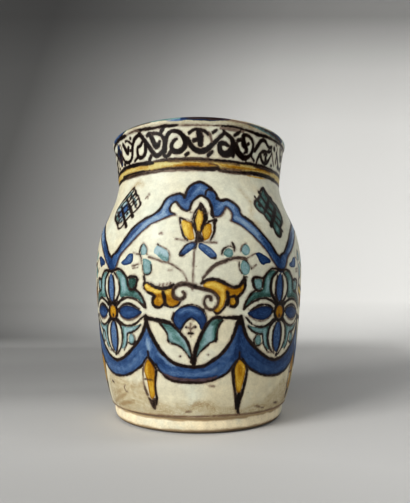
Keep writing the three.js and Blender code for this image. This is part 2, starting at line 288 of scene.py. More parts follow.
RIGHT_BUDS = (
    line(0.66, (2, 3.2, 3.8, 3.4, 2.8), (3.5, 109), (6, 112), (8, 114.5), (11, 117.5), (15, 119.8),
         (19, 121.3), (24, 123), (28, 123.7), (32, 123.7), (35, 123)),
    wash("copper", 0.45, (18.2, 126), (19, 129), (21.7, 130.6), (24.4, 129.3), (25, 126.3),
         (22.5, 123.9)),
    dark(1.6, (16.8, 126), (17.5, 129), (20, 131), (23, 131.8), (26, 131)),
    dark(2, (24.5, 134.3), (26, 132), (25.8, 128.6)),
    wash("copper", 0.3, (30.9, 129), (32.5, 132.6), (35.5, 133.8), (38, 131), (37.6, 127.4), (34, 125.8)),
    brown(1, (30.7, 128.5), (32, 132.4), (35.3, 134.4)),
    wash("copper", 0.4, (30.5, 119.5), (33, 122.4), (36, 121), (38, 116.5), (36.5, 112.8), (33, 111.8),
         (30.8, 114.5)),
    dark(1.3, (29.5, 121), (29.3, 118), (30, 115.5), (31.5, 113)),
    dark(1.2, (35, 122), (37, 119.5), (39, 116.5)),
    dark(1.6, (33, 110.8), (35.5, 110.3)),
    brown(1, (35, 123.5), (38, 125), (42.5, 127.5)),
    brown(1.2, (40, 117), (43, 119.3)),
    wash("cobalt", 0.85, (42.5, 127.5), (46, 128.5), (50, 127), (54, 125), (56.5, 123), (55.5, 121),
         (52, 120.5), (49, 119.5), (46, 121.5), (44.5, 124.5)),
)

PALMETTES = (
    wash("ochre", 0.55, (-38.3, 106.5), (-35, 105.8), (-31.5, 104.3), (-28, 102.8), (-23, 102.2),
         (-18, 103.3), (-16.5, 101), (-16.5, 97), (-13.5, 94.8), (-12, 92.5), (-14.5, 90.3),
         (-18.5, 89.8), (-22.5, 91.5), (-25.5, 90), (-29, 89.5), (-31.8, 91.3), (-32, 94.8),
         (-30.5, 97.5), (-34.5, 98.8), (-38, 101.3), (-39, 104)),
    ochre(0.1, (2.5, 3.4, 2.6), (-33, 101.5), (-27, 100.3), (-20, 100.5)),
    ochre(0.85, (3, 4, 3), (-21, 96), (-18, 94), (-14.5, 92.5)),
    ochre(0.8, (3, 3), (-29, 93.5), (-27.5, 91.5)),
    ochre(0.0, (3, 2), (-37.5, 105), (-36, 102.5)),
    ochre(1.0, (1.6, 2.2, 1.6), (-31, 96.5), (-27, 97.5), (-24, 98)),
    ochre(0.15, (1, 1.8, 1), (-30, 102), (-25, 100.8), (-19, 101.6)),
    dark((2.6, 3, 2.6), (-24, 99.5), (-23.2, 95.5), (-22.6, 91.3)),
    dark((2.4, 1.6, 2.2), (-38.8, 110.8), (-38.4, 108), (-37.5, 106.8)),
    dark((1.8, 1.5, 2, 1.8), (-38.3, 107.5), (-39.3, 104), (-37.8, 101), (-35, 99.3), (-32.5, 98.5),
         (-30.5, 96.8)),
    dark((1.5, 2.4, 3, 2.4), (-37.3, 106.8), (-33.5, 105.5), (-30.5, 103.8), (-27, 102.7), (-23, 102.4),
         (-19, 103.5), (-16.5, 105)),
    dark((1.8, 2.2, 1.8), (-30.5, 97.5), (-32.3, 94.5), (-32, 91.5), (-30, 89.7), (-27.3, 89.4),
         (-25, 90.5), (-23.5, 92.5)),
    dark((1.4, 1.8, 1.3), (-22.5, 92), (-20.5, 90), (-17, 89.6), (-14, 90.8), (-12, 93), (-10.8, 94.6)),
    brown(1.2, (-27.5, 103), (-26.5, 105.3)),
    brown(1.2, (-24.8, 103), (-23.8, 105.6)),
    brown(1.2, (-22.2, 103.2), (-21, 105.8)),
    brown(1.2, (-19.6, 104), (-18.6, 106.4)),
    line(0.72, (3.2, 3.4, 3, 2.8, 2.4), (-1.5, 104.2), (-6, 105), (-10, 105.4), (-14, 104.2),
         (-16.6, 101.5), (-16.8, 98), (-14.8, 95.6), (-11.8, 94.9), (-9.4, 96), (-8.6, 98.3),
         (-9.8, 99.8)),
    brown(1.4, (-3.2, 104), (-3.5, 101.5)),
    wash("ochre", 0.6, (3.5, 104.5), (6, 107), (10, 108), (14, 107.6), (18, 105.8), (22, 103.6),
         (26, 102.6), (30, 103.5), (32.5, 106.5), (33.6, 104), (33, 101), (31, 98.5), (28.5, 96.8),
         (28, 93.5), (26.5, 90.3), (23.5, 90.5), (22, 94), (20, 95.5), (19, 91), (16.5, 87.5), (13.5, 85),
         (11.3, 88), (14, 91), (15, 95), (13.8, 98), (10.5, 100.5), (6, 102)),
    ochre(0.15, (2.4, 3.4, 2.5), (6, 104.6), (12, 105), (18, 101.5)),
    ochre(0.85, (3, 4, 3), (21, 101), (26, 99.8), (30.5, 100.5)),
    ochre(0.25, (2, 3, 2), (18, 99), (17.6, 94), (15.5, 88.5)),
    dark((3, 3.2, 2.4), (20.8, 99.8), (21.8, 96), (21.4, 91)),
    dark((2.2, 2.6, 2.6, 2.8), (3, 105.8), (6.5, 108), (10.5, 108.8), (14.5, 108.2), (18.5, 106.4),
         (22, 104.6), (26, 103.4), (29.5, 104.3), (32, 107.3)),
    dark((2.4, 2), (31.3, 106), (33, 109), (34.6, 108.3)),
    dark((1.8, 2.2, 1.8), (34.2, 108), (34.3, 104.3), (33.3, 101), (31, 98.3), (28.6, 96.6)),
    dark((1.8, 2.4, 1.8), (22.8, 96.5), (26, 97), (28.3, 95), (28.2, 91.8), (26, 89.7), (23, 90.3)),
    dark((1.4, 1.8, 1.6), (11, 88), (13.3, 84.8), (17, 87), (19.6, 90.6), (20.6, 94)),
    line(0.78, (3, 2.8, 2.4, 2.2, 2.4, 3), (-4.5, 103.9), (0, 103), (5, 101.8), (9, 100.6), (12.3, 98.6),
         (14.4, 95.6), (14.3, 92), (12.6, 89.4), (10, 87.6), (7, 88.7), (5, 91.5), (4.9, 94.6),
         (6.5, 96.8), (8.8, 96.6), (9.3, 94.8)),
)

# The edges of the blue scallop under the panel
LUNETTE_RIM = ((-36, 74), (-33.5, 69), (-31, 64.5), (-28, 60), (-25, 57), (-21, 53.5), (-17, 51),
               (-13, 49.8), (-8, 49), (-3, 48.5), (2, 48.8), (6, 50), (10, 52.3), (14, 54.8), (18, 58),
               (21.5, 62), (24.5, 66.5), (27, 72), (28.5, 77))
LUNETTE_FOOT = ((27, 49), (25, 46.3), (22, 43.7), (18, 41.5), (14, 40), (10, 39), (5, 38), (0, 37.7),
                (-6, 37.8), (-12, 38), (-18, 38.8), (-23, 40.5), (-27, 43.5), (-30, 46.5))

LUNETTE = (
    wash("cobalt", 0.66, (-38.5, 80.5), *LUNETTE_RIM, (31, 81), (34, 68), (33.5, 55.5), (30, 52),
         *LUNETTE_FOOT, (-34, 51), (-39.5, 57), (-40.5, 68)),
    cobalt(0.12, (2.5, 5.5, 3), (-40, 68), (-38.3, 64), (-36.5, 60)),
    cobalt(0.3, (2, 3.4, 2), (-29, 57.5), (-23, 52.5), (-16, 49)),
    cobalt(0.88, (3, 5, 3), (-31, 53.5), (-27.5, 51.5), (-24, 48)),
    cobalt(0.4, (1.6, 2.4, 1.6), (-20, 44.5), (-6, 43.4), (6, 44), (15, 47)),
    cobalt(0.85, (1.6, 2.2, 1.6), (-20, 47.5), (-8, 45.8), (4, 46.2), (14, 50)),
    cobalt(0.85, (1.4, 2, 1.4), (-16, 41.6), (-4, 41), (8, 41.6), (16, 44.5)),
    cobalt(1.0, (5, 6, 4), (32, 78), (31.8, 68), (30.5, 60), (27, 54)),
    line(0.3, (1.5, 2.6, 1.5), (-26, 43.6), (-18, 40.6), (-5, 39.4), (8, 40), (15, 41.8)),
    dark((4, 3.4, 3, 3, 3, 3.6), (-38.5, 81), *LUNETTE_RIM, (30.5, 81.5)),
    dark((2, 2.6, 2.2, 2), (-32, 50), *LUNETTE_FOOT[::-1], (28.5, 51)),
    wash("copper", 0.38, (-26.5, 79.5), (-22, 79), (-18, 77.2), (-14.5, 74), (-11.5, 71), (-8.6, 67.5),
         (-6.6, 64), (-5.3, 60), (-4.3, 55), (-5, 54.4), (-8, 58.4), (-10, 60.8), (-13, 63), (-16, 64.3),
         (-20, 65.1), (-21.3, 66.5), (-21.3, 69), (-22.2, 71.8), (-24, 74.5), (-26, 76.8)),
    copper(0.78, (2, 3.5, 2), (-24.5, 77.6), (-20.5, 75.5), (-16.5, 72.4)),
    copper(0.72, (2, 4, 2.4), (-17, 69.4), (-13.2, 67.6), (-9.4, 63.4)),
    copper(0.2, (1.4, 2, 1.4), (-13.4, 71.4), (-9.6, 66.6), (-7, 61)),
    wash("copper", 0.38, (12, 82.4), (17.4, 82.4), (18, 80), (15, 77), (13.8, 73), (13.3, 67.8),
         (11.5, 66.3), (8.5, 64.8), (5.5, 62.3), (2.5, 59.2), (-0.4, 55), (-1.2, 58), (0.3, 64.8),
         (2.6, 70), (5.2, 74.8), (8, 78.6), (10.5, 81.3)),
    copper(0.25, (2, 3.4, 2), (8.5, 75), (9.6, 71), (8, 66.8)),
    copper(0.72, (2, 2.4, 2), (4.2, 72), (3.2, 66.4), (1, 61)),
    copper(1.0, (3.4, 3, 2), (16.2, 81), (13, 78.5), (10.4, 78.2)),
    copper(1.0, (3, 2.4, 2), (15.4, 80), (13.2, 76), (12.6, 71), (12.9, 67.6)),
    dark((4, 3.4, 2.6, 2.4, 2.4, 2.8), (-38, 82), (-33, 81), (-28, 80.3), (-22, 79.4), (-18, 77.5),
         (-14.5, 74.3), (-11.5, 71.3), (-8.5, 68), (-6.5, 64.5), (-5, 60), (-4, 55), (-3.8, 52)),
    dark((1.5, 1.4, 1.6), (-28, 79.3), (-25.5, 76.3), (-23.3, 73.7), (-21.7, 70.8), (-21.4, 68),
         (-21.2, 66.2), (-20, 65), (-16, 64.1), (-13, 62.7), (-10, 60.4), (-7.5, 57.4), (-5, 53.9)),
    dark(2.6, (-21.4, 66.8), (-20.6, 65.6)),
    dark((4.6, 3.8, 3.2, 3, 3.2, 3.6), (-2.3, 53), (-1.8, 58), (0, 64.5), (2.6, 70.5), (5.6, 75.8),
         (9.3, 80.5), (13, 82.6), (18, 82.3), (24, 82.4), (28.5, 82), (31.5, 80.3)),
    dark((1.6, 1.6, 1.5), (18, 80.3), (16, 78), (14.6, 75), (14, 71.5), (13.9, 68.5), (13.6, 66.8),
         (11.5, 66), (9, 65), (6.5, 62.8), (4, 60.5), (1, 57.5), (-0.5, 55)),
    dark(2.6, (13.8, 67.6), (13.2, 66.3)),
    dark(4.4, (-3.8, 52.3), (-2.8, 51.3)),
    dark((4.2, 3), (-38.5, 83), (-37.3, 79)),
    dark((4, 3), (31.5, 82.5), (31.2, 78)),
    brown(1, (9, 35.5), (13, 35)),
    dark(1.3, (7.5, 57), (7.9, 56.9)),
    dark(1.3, (-12.7, 56), (-12.3, 56)),
)

DOME_FLOWER = (
    wash("cobalt", 0.95, (-12.5, 73.8), (-15, 75.7), (-17.2, 78.8), (-17.6, 82.5), (-15.9, 86),
         (-13, 88.8), (-9.5, 90.5), (-5, 91), (-1, 90.3), (2.7, 88.3), (5.3, 85), (6.5, 81.5),
         (6.1, 77.5), (4.3, 74.3), (2.2, 74.3), (1.5, 76.8), (0, 79), (-2.5, 81.2), (-4.5, 82),
         (-6.5, 81.2), (-8.5, 79), (-10.5, 76.3)),
    cobalt(0.55, (2, 3.4, 2), (-13, 85.2), (-9, 87.6), (-4, 87.6), (1, 85.2)),
    cobalt(0.8, (2, 3, 2), (-15.4, 82), (-12.4, 79), (-11, 76)),
    dark((1.4, 1.8), (-16.5, 77.5), (-17.8, 81.5), (-16.6, 85.3)),
    dark(1.3, (-12, 89.3), (-5, 91.3), (0, 90.3), (4, 87.4), (6.4, 83.5), (6.8, 80)),
    dark(1.3, (-12, 73), (-10.5, 76), (-8.7, 78.6), (-6.6, 80.8), (-4.5, 81.6), (-2.4, 80.8)),
    brown((1.5, 1.3), (-4.8, 78.2), (-5, 75), (-4.8, 72.8)),
    brown((1.5, 1.2), (-8, 76.2), (-5, 74.8)),
    brown((1.5, 1.2), (-1.4, 76.5), (-4.4, 74.8)),
    dark(1.8, (-8, 76), (-7.7, 75.8)),
    dark(1.8, (-1.7, 76.3), (-1.4, 76)),
    dark(2.2, (-6.2, 71.6), (-3.4, 71.6)),
    dark(1.3, (-4.8, 69.6), (-4.6, 69.3)),
)

PENDANTS = (
    wash("ochre", 0.5, (-38.5, 53), (-35, 50.5), (-33, 45.5), (-33.2, 40), (-34, 33), (-34.6, 27.5),
         (-37.5, 24.5), (-39.5, 27), (-40.1, 33), (-40.8, 39), (-42.4, 43.5), (-41.8, 47.5),
         (-40.3, 50.8)),
    ochre(0.85, (3, 5.5, 3.5), (-37, 51), (-36, 46.5), (-36.4, 41)),
    brown((1.8, 1.2, 1.2, 3), (-38.8, 53.8), (-41.2, 50.3), (-43.2, 46), (-43.9, 41), (-43.9, 36),
          (-43.1, 31.5), (-41.6, 27.7)),
    dark((2.4, 3, 2.6, 2.2, 2.6), (-37.5, 54), (-34.3, 50.5), (-32.2, 46.5), (-32, 43), (-33.2, 38),
         (-33.6, 32), (-33.4, 26), (-34.3, 21.5)),
    wash("manganese", 0.7, (-41.3, 25.8), (-40.3, 21.5), (-38.8, 18), (-36.5, 17), (-34.8, 19),
         (-33.5, 24), (-35.5, 25.8), (-38, 24.3)),
    brown(1.1, (-43, 38.7), (-34, 38.5)),
    dark(1.8, (-38, 58.5), (-37.6, 54.5)),
    wash("ochre", 0.45, (32, 52.8), (35.3, 51), (37.6, 47.5), (37.2, 42), (36, 36), (34.6, 29.8),
         (32, 29.4), (30, 34), (28.8, 40), (27.9, 46), (29.4, 50.3)),
    ochre(0.66, (3, 5, 3), (32.6, 50), (32.8, 45), (32.6, 40)),
    dark((2.2, 3.2, 3, 3.4), (31.5, 53.8), (28.3, 50.5), (27, 46), (27.6, 40), (28.8, 34.5), (30.2, 29),
         (31.5, 23), (32.8, 18.5)),
    dark((2, 2.6, 3, 3.4), (32.5, 53.8), (36.2, 50.8), (38.6, 47), (38.6, 42.5), (37.6, 36), (36.6, 30.5),
         (35.3, 25), (34.5, 19.5)),
    dark((5, 4.2, 2.8, 1.6), (33.2, 28), (33.6, 21), (34.6, 16), (36.2, 13.6)),
    dark(2, (31.5, 58), (31.7, 54)),
)

# The edges of half of the scallop under a rosette
SCALLOP_RIM = ((34.5, 82), (33.3, 77), (31, 71), (28, 66.3), (24, 62), (18, 57.2), (12, 53.6), (6, 51.3),
               (0, 50.3))
SCALLOP_FOOT = ((6, 39), (12.3, 40.2), (18, 42), (24, 45), (28, 47.5), (31, 50.7))

# Half of a rosette and of the scallop under it, about the rosette's own middle
ROSETTE_HALF = (
    wash("copper", 0.5, (9.6, 97), (10.4, 102), (10, 107), (8, 112), (5.5, 115), (10, 116), (14.5, 113.6),
         (17.8, 110.5), (18.8, 107), (19.3, 102.8), (23, 101.3), (27, 100), (30.3, 97), (32.4, 93),
         (33.3, 89), (30.5, 91.5), (26.5, 94.5), (21.5, 96.3), (16, 96.7), (12, 96)),
    copper(0.8, (1.2, 2, 1.4), (9.8, 98.5), (11, 104), (9.5, 110.5)),
    copper(0.75, (1.6, 2, 1.4), (16.8, 111), (18, 106.5), (18, 102.3)),
    copper(0.15, (2, 3.5, 2), (14, 110.5), (14.4, 105), (15.5, 100.3)),
    copper(0.8, (1.6, 2.4, 1.6), (12, 97.5), (18, 98.4), (24, 97.6), (29, 94.5)),
    wash("copper", 0.3, (19.6, 103.5), (19.6, 107), (21, 109.6), (25.5, 109.6), (27.6, 107),
         (26.6, 103.2), (23, 101.8)),
    dark((2.6, 2.4, 2.4, 2), (0, 116), (6, 117), (11, 116.6), (14.8, 114), (17.8, 111), (19, 107.5),
         (19.4, 104)),
    dark((2, 2.6, 3), (18.6, 110), (22.5, 110.7), (26.8, 110.4), (27.9, 108.3)),
    dark((1.8, 2.4, 2.2), (27.6, 108), (27, 105), (25.6, 102.6), (22.6, 101.2), (20.5, 102)),
    dark((2, 2.4, 2.2, 1.8), (25, 101.6), (28.5, 99.5), (31.3, 96), (33, 92), (33.7, 88.5)),
    wash("copper", 0.25, (9.7, 76), (11.3, 71), (11, 64.5), (8.3, 59.7), (10, 58.5), (13.5, 60.5),
         (15.8, 64), (17, 69.5), (21, 71), (25.5, 73), (30, 77.5), (25, 75.8), (18, 74.9), (13, 75.6)),
    copper(0.75, (1.2, 1.8, 1.2), (12.4, 74.5), (12.6, 68), (11, 62)),
    copper(0.1, (1.6, 2.2, 1.4), (14.3, 72.5), (14.7, 67), (13.4, 62.5)),
    wash("copper", 0.3, (17.8, 66.3), (19, 69.4), (21.6, 69.8), (23.5, 66.5), (21.8, 63), (19, 63)),
    dark((1.3, 1.7, 1.3), (21.8, 70.6), (24.2, 67), (23.2, 63), (20, 62.3), (17.6, 63.5)),
    dark((1.6, 2, 1.5, 1.2), (29.5, 76.5), (25.5, 72.8), (21, 70.8), (17, 70), (16.2, 66), (14.6, 61.3),
         (11.5, 58)),
    wash("cobalt", 0.92, (6.5, 86.2), (10, 88.9), (15, 90.2), (20, 90), (25, 88.5), (30.5, 85.8),
         (27.5, 82.8), (22, 80.8), (16.5, 80.3), (11, 82)),
    cobalt(0.66, (1.5, 2.6, 1.2), (12, 84.5), (18, 84.6), (25, 85)),
    dark((1.8, 2.5, 1.8), (6.5, 87.3), (11, 90), (16.5, 91.2), (22, 90.6), (28.5, 87.5)),
    brown(1.3, (9, 83), (13, 80.7), (18, 79.7), (24, 80.8), (29, 84)),
    dark((3, 2.2, 2, 1.8), (5.5, 91), (10, 93.8), (16, 95.6), (22, 95.4), (28, 93), (33, 88.8)),
    dark((2.8, 1.8, 1.5), (6, 80), (10.5, 77), (16, 75.5), (22, 75.9), (27, 78.4), (31.5, 82.6)),
    wash("cobalt", 0.66, *SCALLOP_RIM, (-2, 50.3), (-2, 38.8), (0, 38.8), *SCALLOP_FOOT, (35.5, 57),
         (36.5, 70)),
    cobalt(0.5, (1.4, 2, 1.2), (-2, 43.5), (12, 45), (22, 50), (28, 55)),
    cobalt(0.85, (1.5, 2, 1.5), (-2, 47.5), (14, 50), (21, 53.5), (27, 58.5)),
    dark((3.4, 3, 2.8, 2.6), *SCALLOP_RIM, (-1, 50.3)),
    dark(1.8, (-1, 38.8), *SCALLOP_FOOT, (33.5, 54)),
)

DARK_LOBE = (
    copper(1.0, (5, 8, 7), (22.5, 109), (23.4, 106), (23, 103)),
)

ROSETTE_MIDDLE = (
    wash("cobalt", 0.52, (0, 92.3), (-2.6, 94.5), (-4.6, 99), (-4.8, 105), (-3.7, 110.5), (-0.8, 114.3),
         (1.8, 111.5), (3, 106), (3, 100), (2, 95)),
    dark((1.6, 2.3, 1.6), (-2.6, 93.5), (-5, 98.5), (-5.2, 105), (-3.8, 111.8)),
    dark((1.4, 2.1, 1.5), (1.6, 93.5), (3.2, 99.5), (3.4, 106), (2, 112.5)),
    dark((3, 2.4, 2), (-3, 92.5), (-7.5, 96), (-10.4, 101), (-10.9, 106), (-9, 111), (-4, 115.3)),
    dark((2.8, 1.6, 1.9), (2.7, 92.5), (6.5, 95.7), (9.2, 100.3), (9.6, 105.3), (7.6, 110.5),
         (3.5, 114.9)),
    wash("cobalt", 0.5, (0, 80), (-2.6, 77.8), (-5, 73), (-5.6, 67.5), (-4.8, 62), (-2.4, 57.6), (0, 56),
         (1.8, 58.3), (3.3, 63), (3.8, 68), (3.1, 73.5), (1.8, 78)),
    dark((1.2, 1.6, 1.2), (-2.8, 78), (-5.4, 73), (-6, 67.5), (-5.3, 61.5), (-2.8, 57.3)),
    dark((1.5, 2.3, 1.7), (1.8, 78.8), (3.9, 73), (4.3, 67), (3.4, 61), (1, 56.3)),
    dark((2.6, 1.9, 1.3), (-4, 80), (-9.3, 76), (-11.3, 70), (-10.6, 64), (-7.5, 58.7), (-3, 55.6)),
    dark((2.6, 1.8, 1.4), (3.7, 80), (8.2, 76.5), (10, 71), (9.6, 65), (6.6, 59), (2.5, 55)),
    dark(2.6, (-0.3, 54.6), (0.3, 54.6)),
    brown(0.9, (-10.7, 57), (-2.7, 55.9)),
    wash("ochre", 0.6, (-4.6, 87.5), (-1.5, 90.6), (3, 89.6), (4.8, 86), (3, 82), (-2, 81.2), (-4.8, 84)),
    dark(2.8, (-5.5, 86), (-4.6, 89.3), (-2.2, 91.6), (1, 92), (4, 90.3), (5.6, 87), (5.4, 83.5),
         (3.2, 80.6), (0, 79.6), (-3.2, 80.7), (-5, 83), (-5.5, 86)),
    dark((3.4, 2), (3.5, 91), (6.8, 93)),
    dark((3.4, 2), (-3.5, 91), (-6.8, 93)),
    dark((3.4, 2), (3.8, 80.8), (6.5, 79)),
    dark((3.4, 2), (-3.8, 80.8), (-6.5, 79)),
    dark((2.6, 1.8), (5.5, 86.2), (8.3, 86.2)),
    dark((2.6, 1.8), (-5.5, 86.2), (-8.3, 86.2)),
    dark(1.7, (0, 83.3), (0.3, 83.1)),
)

LEFT_LOZENGE = (
    wash("copper", 0.1, (-11, 167), (-4, 172), (3, 170), (10, 165), (12, 160), (6, 153), (0, 154),
         (-8, 160)),
    copper(0.2, (1.5, 3, 1.5), (5, 176), (9, 172), (14, 168), (16, 164)),
    copper(0.3, (1, 2, 1), (-3, 173), (2, 177), (6, 179)),
    dark((0.8, 1.6, 0.8), (1, 178.6), (6, 174), (11, 169.8), (16, 164.6), (19.6, 162)),
    dark((0.8, 1.4, 0.8), (12.6, 173.6), (9, 169.6), (5.6, 165.6)),
    wash("cobalt", 0.66, (-5, 164), (1, 168.5), (6.5, 165), (6.5, 160.5), (1, 158), (-5.5, 160)),
    copper(0.6, (1, 2, 1), (-9, 167), (-5, 170), (-1, 174)),
    copper(0.5, (1, 2, 1), (-9, 160), (-4, 157), (1, 154)),
    dark((1.4, 1.8, 1.4), (-10, 163.5), (-5, 160.5), (-1, 157), (2.5, 152)),
    dark((1.6, 2.4, 1.2, 2.2, 1.6), (5, 181), (8.5, 178.6), (11.5, 175), (15, 173), (18.4, 169),
         (21, 165.6), (19.8, 162.6), (17.5, 160.3)),
    dark((2, 1.6, 3, 1.8, 2.6), (6, 181.3), (2, 179.6), (-2.7, 176), (-5.7, 173.6), (-9.7, 170.4),
         (-12.6, 166)),
    dark((2, 2.2, 2.6), (-12.6, 166), (-11.5, 162), (-8.5, 158), (-4, 154.8), (0.3, 152)),
    dark((1.8, 1.6), (0.3, 152), (2.5, 148.7), (5.5, 148.2), (9, 151)),
    dark((2, 2.4, 2.8), (-0.5, 172.5), (4, 168.8), (8.5, 165), (12.5, 161.4), (16.9, 156)),
    dark((2, 2.4, 2.8), (-5.7, 167.5), (-0.7, 163), (3.5, 159.2), (8, 154.5), (12.5, 148.9)),
    dark((1.8, 1.8), (17.6, 160.4), (13.5, 157.2), (8.5, 152)),
    dark((1.6, 1.8, 1.6), (9.5, 176.3), (6.5, 172.5), (2.5, 168.3), (-2, 163.5), (-7.5, 158.5)),
    dark((1.6, 1.8, 1.6), (15.5, 171.3), (12.5, 167.5), (8, 163), (3, 157.5), (-0.5, 153.5)),
    dark((1.6, 1.4), (5.8, 178.5), (2.5, 175.3), (-2.5, 171.5), (-8.5, 166.5)),
    dark(2.8, (4.6, 173.4), (5, 173.1)),
    dark(2, (8, 175.4), (9, 174.6)),
    dark(2.2, (10.6, 169.2), (11, 168.9)),
    dark(2, (16, 165.9), (16.3, 165.6)),
    dark(2.2, (8.3, 159.6), (8.8, 159.2)),
    dark(2.2, (4, 153.7), (4.6, 153)),
    dark(2, (-1.6, 177), (-1.2, 176.6)),
    dark(2, (-6.8, 163), (-6.3, 162.7)),
)

RIGHT_LOZENGE = (
    wash("copper", 0.82, (1, 181), (6, 176), (12, 170.5), (16, 165), (14.5, 158.5), (8, 151.5), (5, 146),
         (1.2, 142.5), (-3, 147), (-5.5, 151), (-9.5, 157), (-14, 160.5), (-17.2, 165.5), (-12, 170),
         (-7, 174), (-2.5, 179)),
    copper(0.55, (1.6, 2.6, 1.6), (-14.5, 165.8), (-12, 166.3), (-10, 163.3)),
    copper(0.6, (1.2, 2, 1.2), (-8.5, 168), (-6.5, 170.3)),
    copper(0.6, (1.2, 2, 1.2), (-7.5, 158.5), (-5.5, 160.6)),
    copper(0.6, (1.2, 2, 1.2), (-1.5, 176), (0.6, 177.8)),
    copper(0.4, (1.2, 2.2, 1.2), (0.3, 146.5), (1.3, 149.5)),
    copper(0.5, (1.2, 2, 1.2), (6.5, 156), (9, 157)),
    copper(0.5, (1.2, 2, 1.2), (8, 168), (10.5, 168.8)),
    dark((2.4, 2, 2), (1, 181.5), (-2.5, 180), (-5.5, 177.5), (-6.5, 174.7), (-9.5, 172), (-12.5, 170.3),
         (-15.5, 168.5), (-17.2, 166), (-17.2, 164), (-15.5, 161), (-13.5, 159.5)),
    dark(3.2, (-7.5, 176.6), (-6.6, 176)),
    dark(1.8, (-14.5, 172.3), (-13, 170.5)),
    dark((2.4, 2.8, 2.6), (1, 181.5), (3.5, 178), (5.5, 175.8), (8, 173.3), (10.5, 171), (13.5, 168.7),
         (15.7, 164), (15, 159.5)),
    dark(3.4, (8.3, 174), (9.3, 173.8)),
    dark(3.2, (13.6, 169), (14.4, 168.6)),
    dark((2, 2.2, 2.6), (-13.5, 159.5), (-10.5, 158), (-9, 155), (-6.5, 152), (-4.5, 150.5), (-3.5, 148),
         (-2.5, 145), (-0.5, 142.8), (1.5, 142), (3.5, 143), (5, 146), (5.5, 148.7)),
    dark((2.4, 2.2, 2.2), (5.5, 149), (8, 151.7), (12, 154.5), (15, 159.5)),
    dark((3.2, 4, 3.6), (10, 166.8), (4.5, 160.8), (0.5, 157), (-3.5, 153), (-6, 149.7)),
    dark((2.4, 3.8, 2.4), (4, 172), (-0.6, 167.8), (-4, 164.5), (-9, 160)),
    dark((2.2, 2.8, 2.2), (-6.5, 173.8), (-3, 169), (0.5, 164), (5, 159), (10, 154.5)),
    dark((2, 2.6, 2), (-12.5, 170), (-9, 164.5), (-5, 160), (-0.5, 155.5), (4.5, 150)),
    dark((2, 2.4, 2), (0.5, 178), (4.5, 172), (9, 167.3), (14, 162)),
    dark(2.8, (-12.3, 165.6), (-11.7, 165.3)),
    dark(2.2, (-3.8, 157.7), (-3.2, 157.3)),
    dark(2, (6.7, 147.5), (7.6, 147)),
)

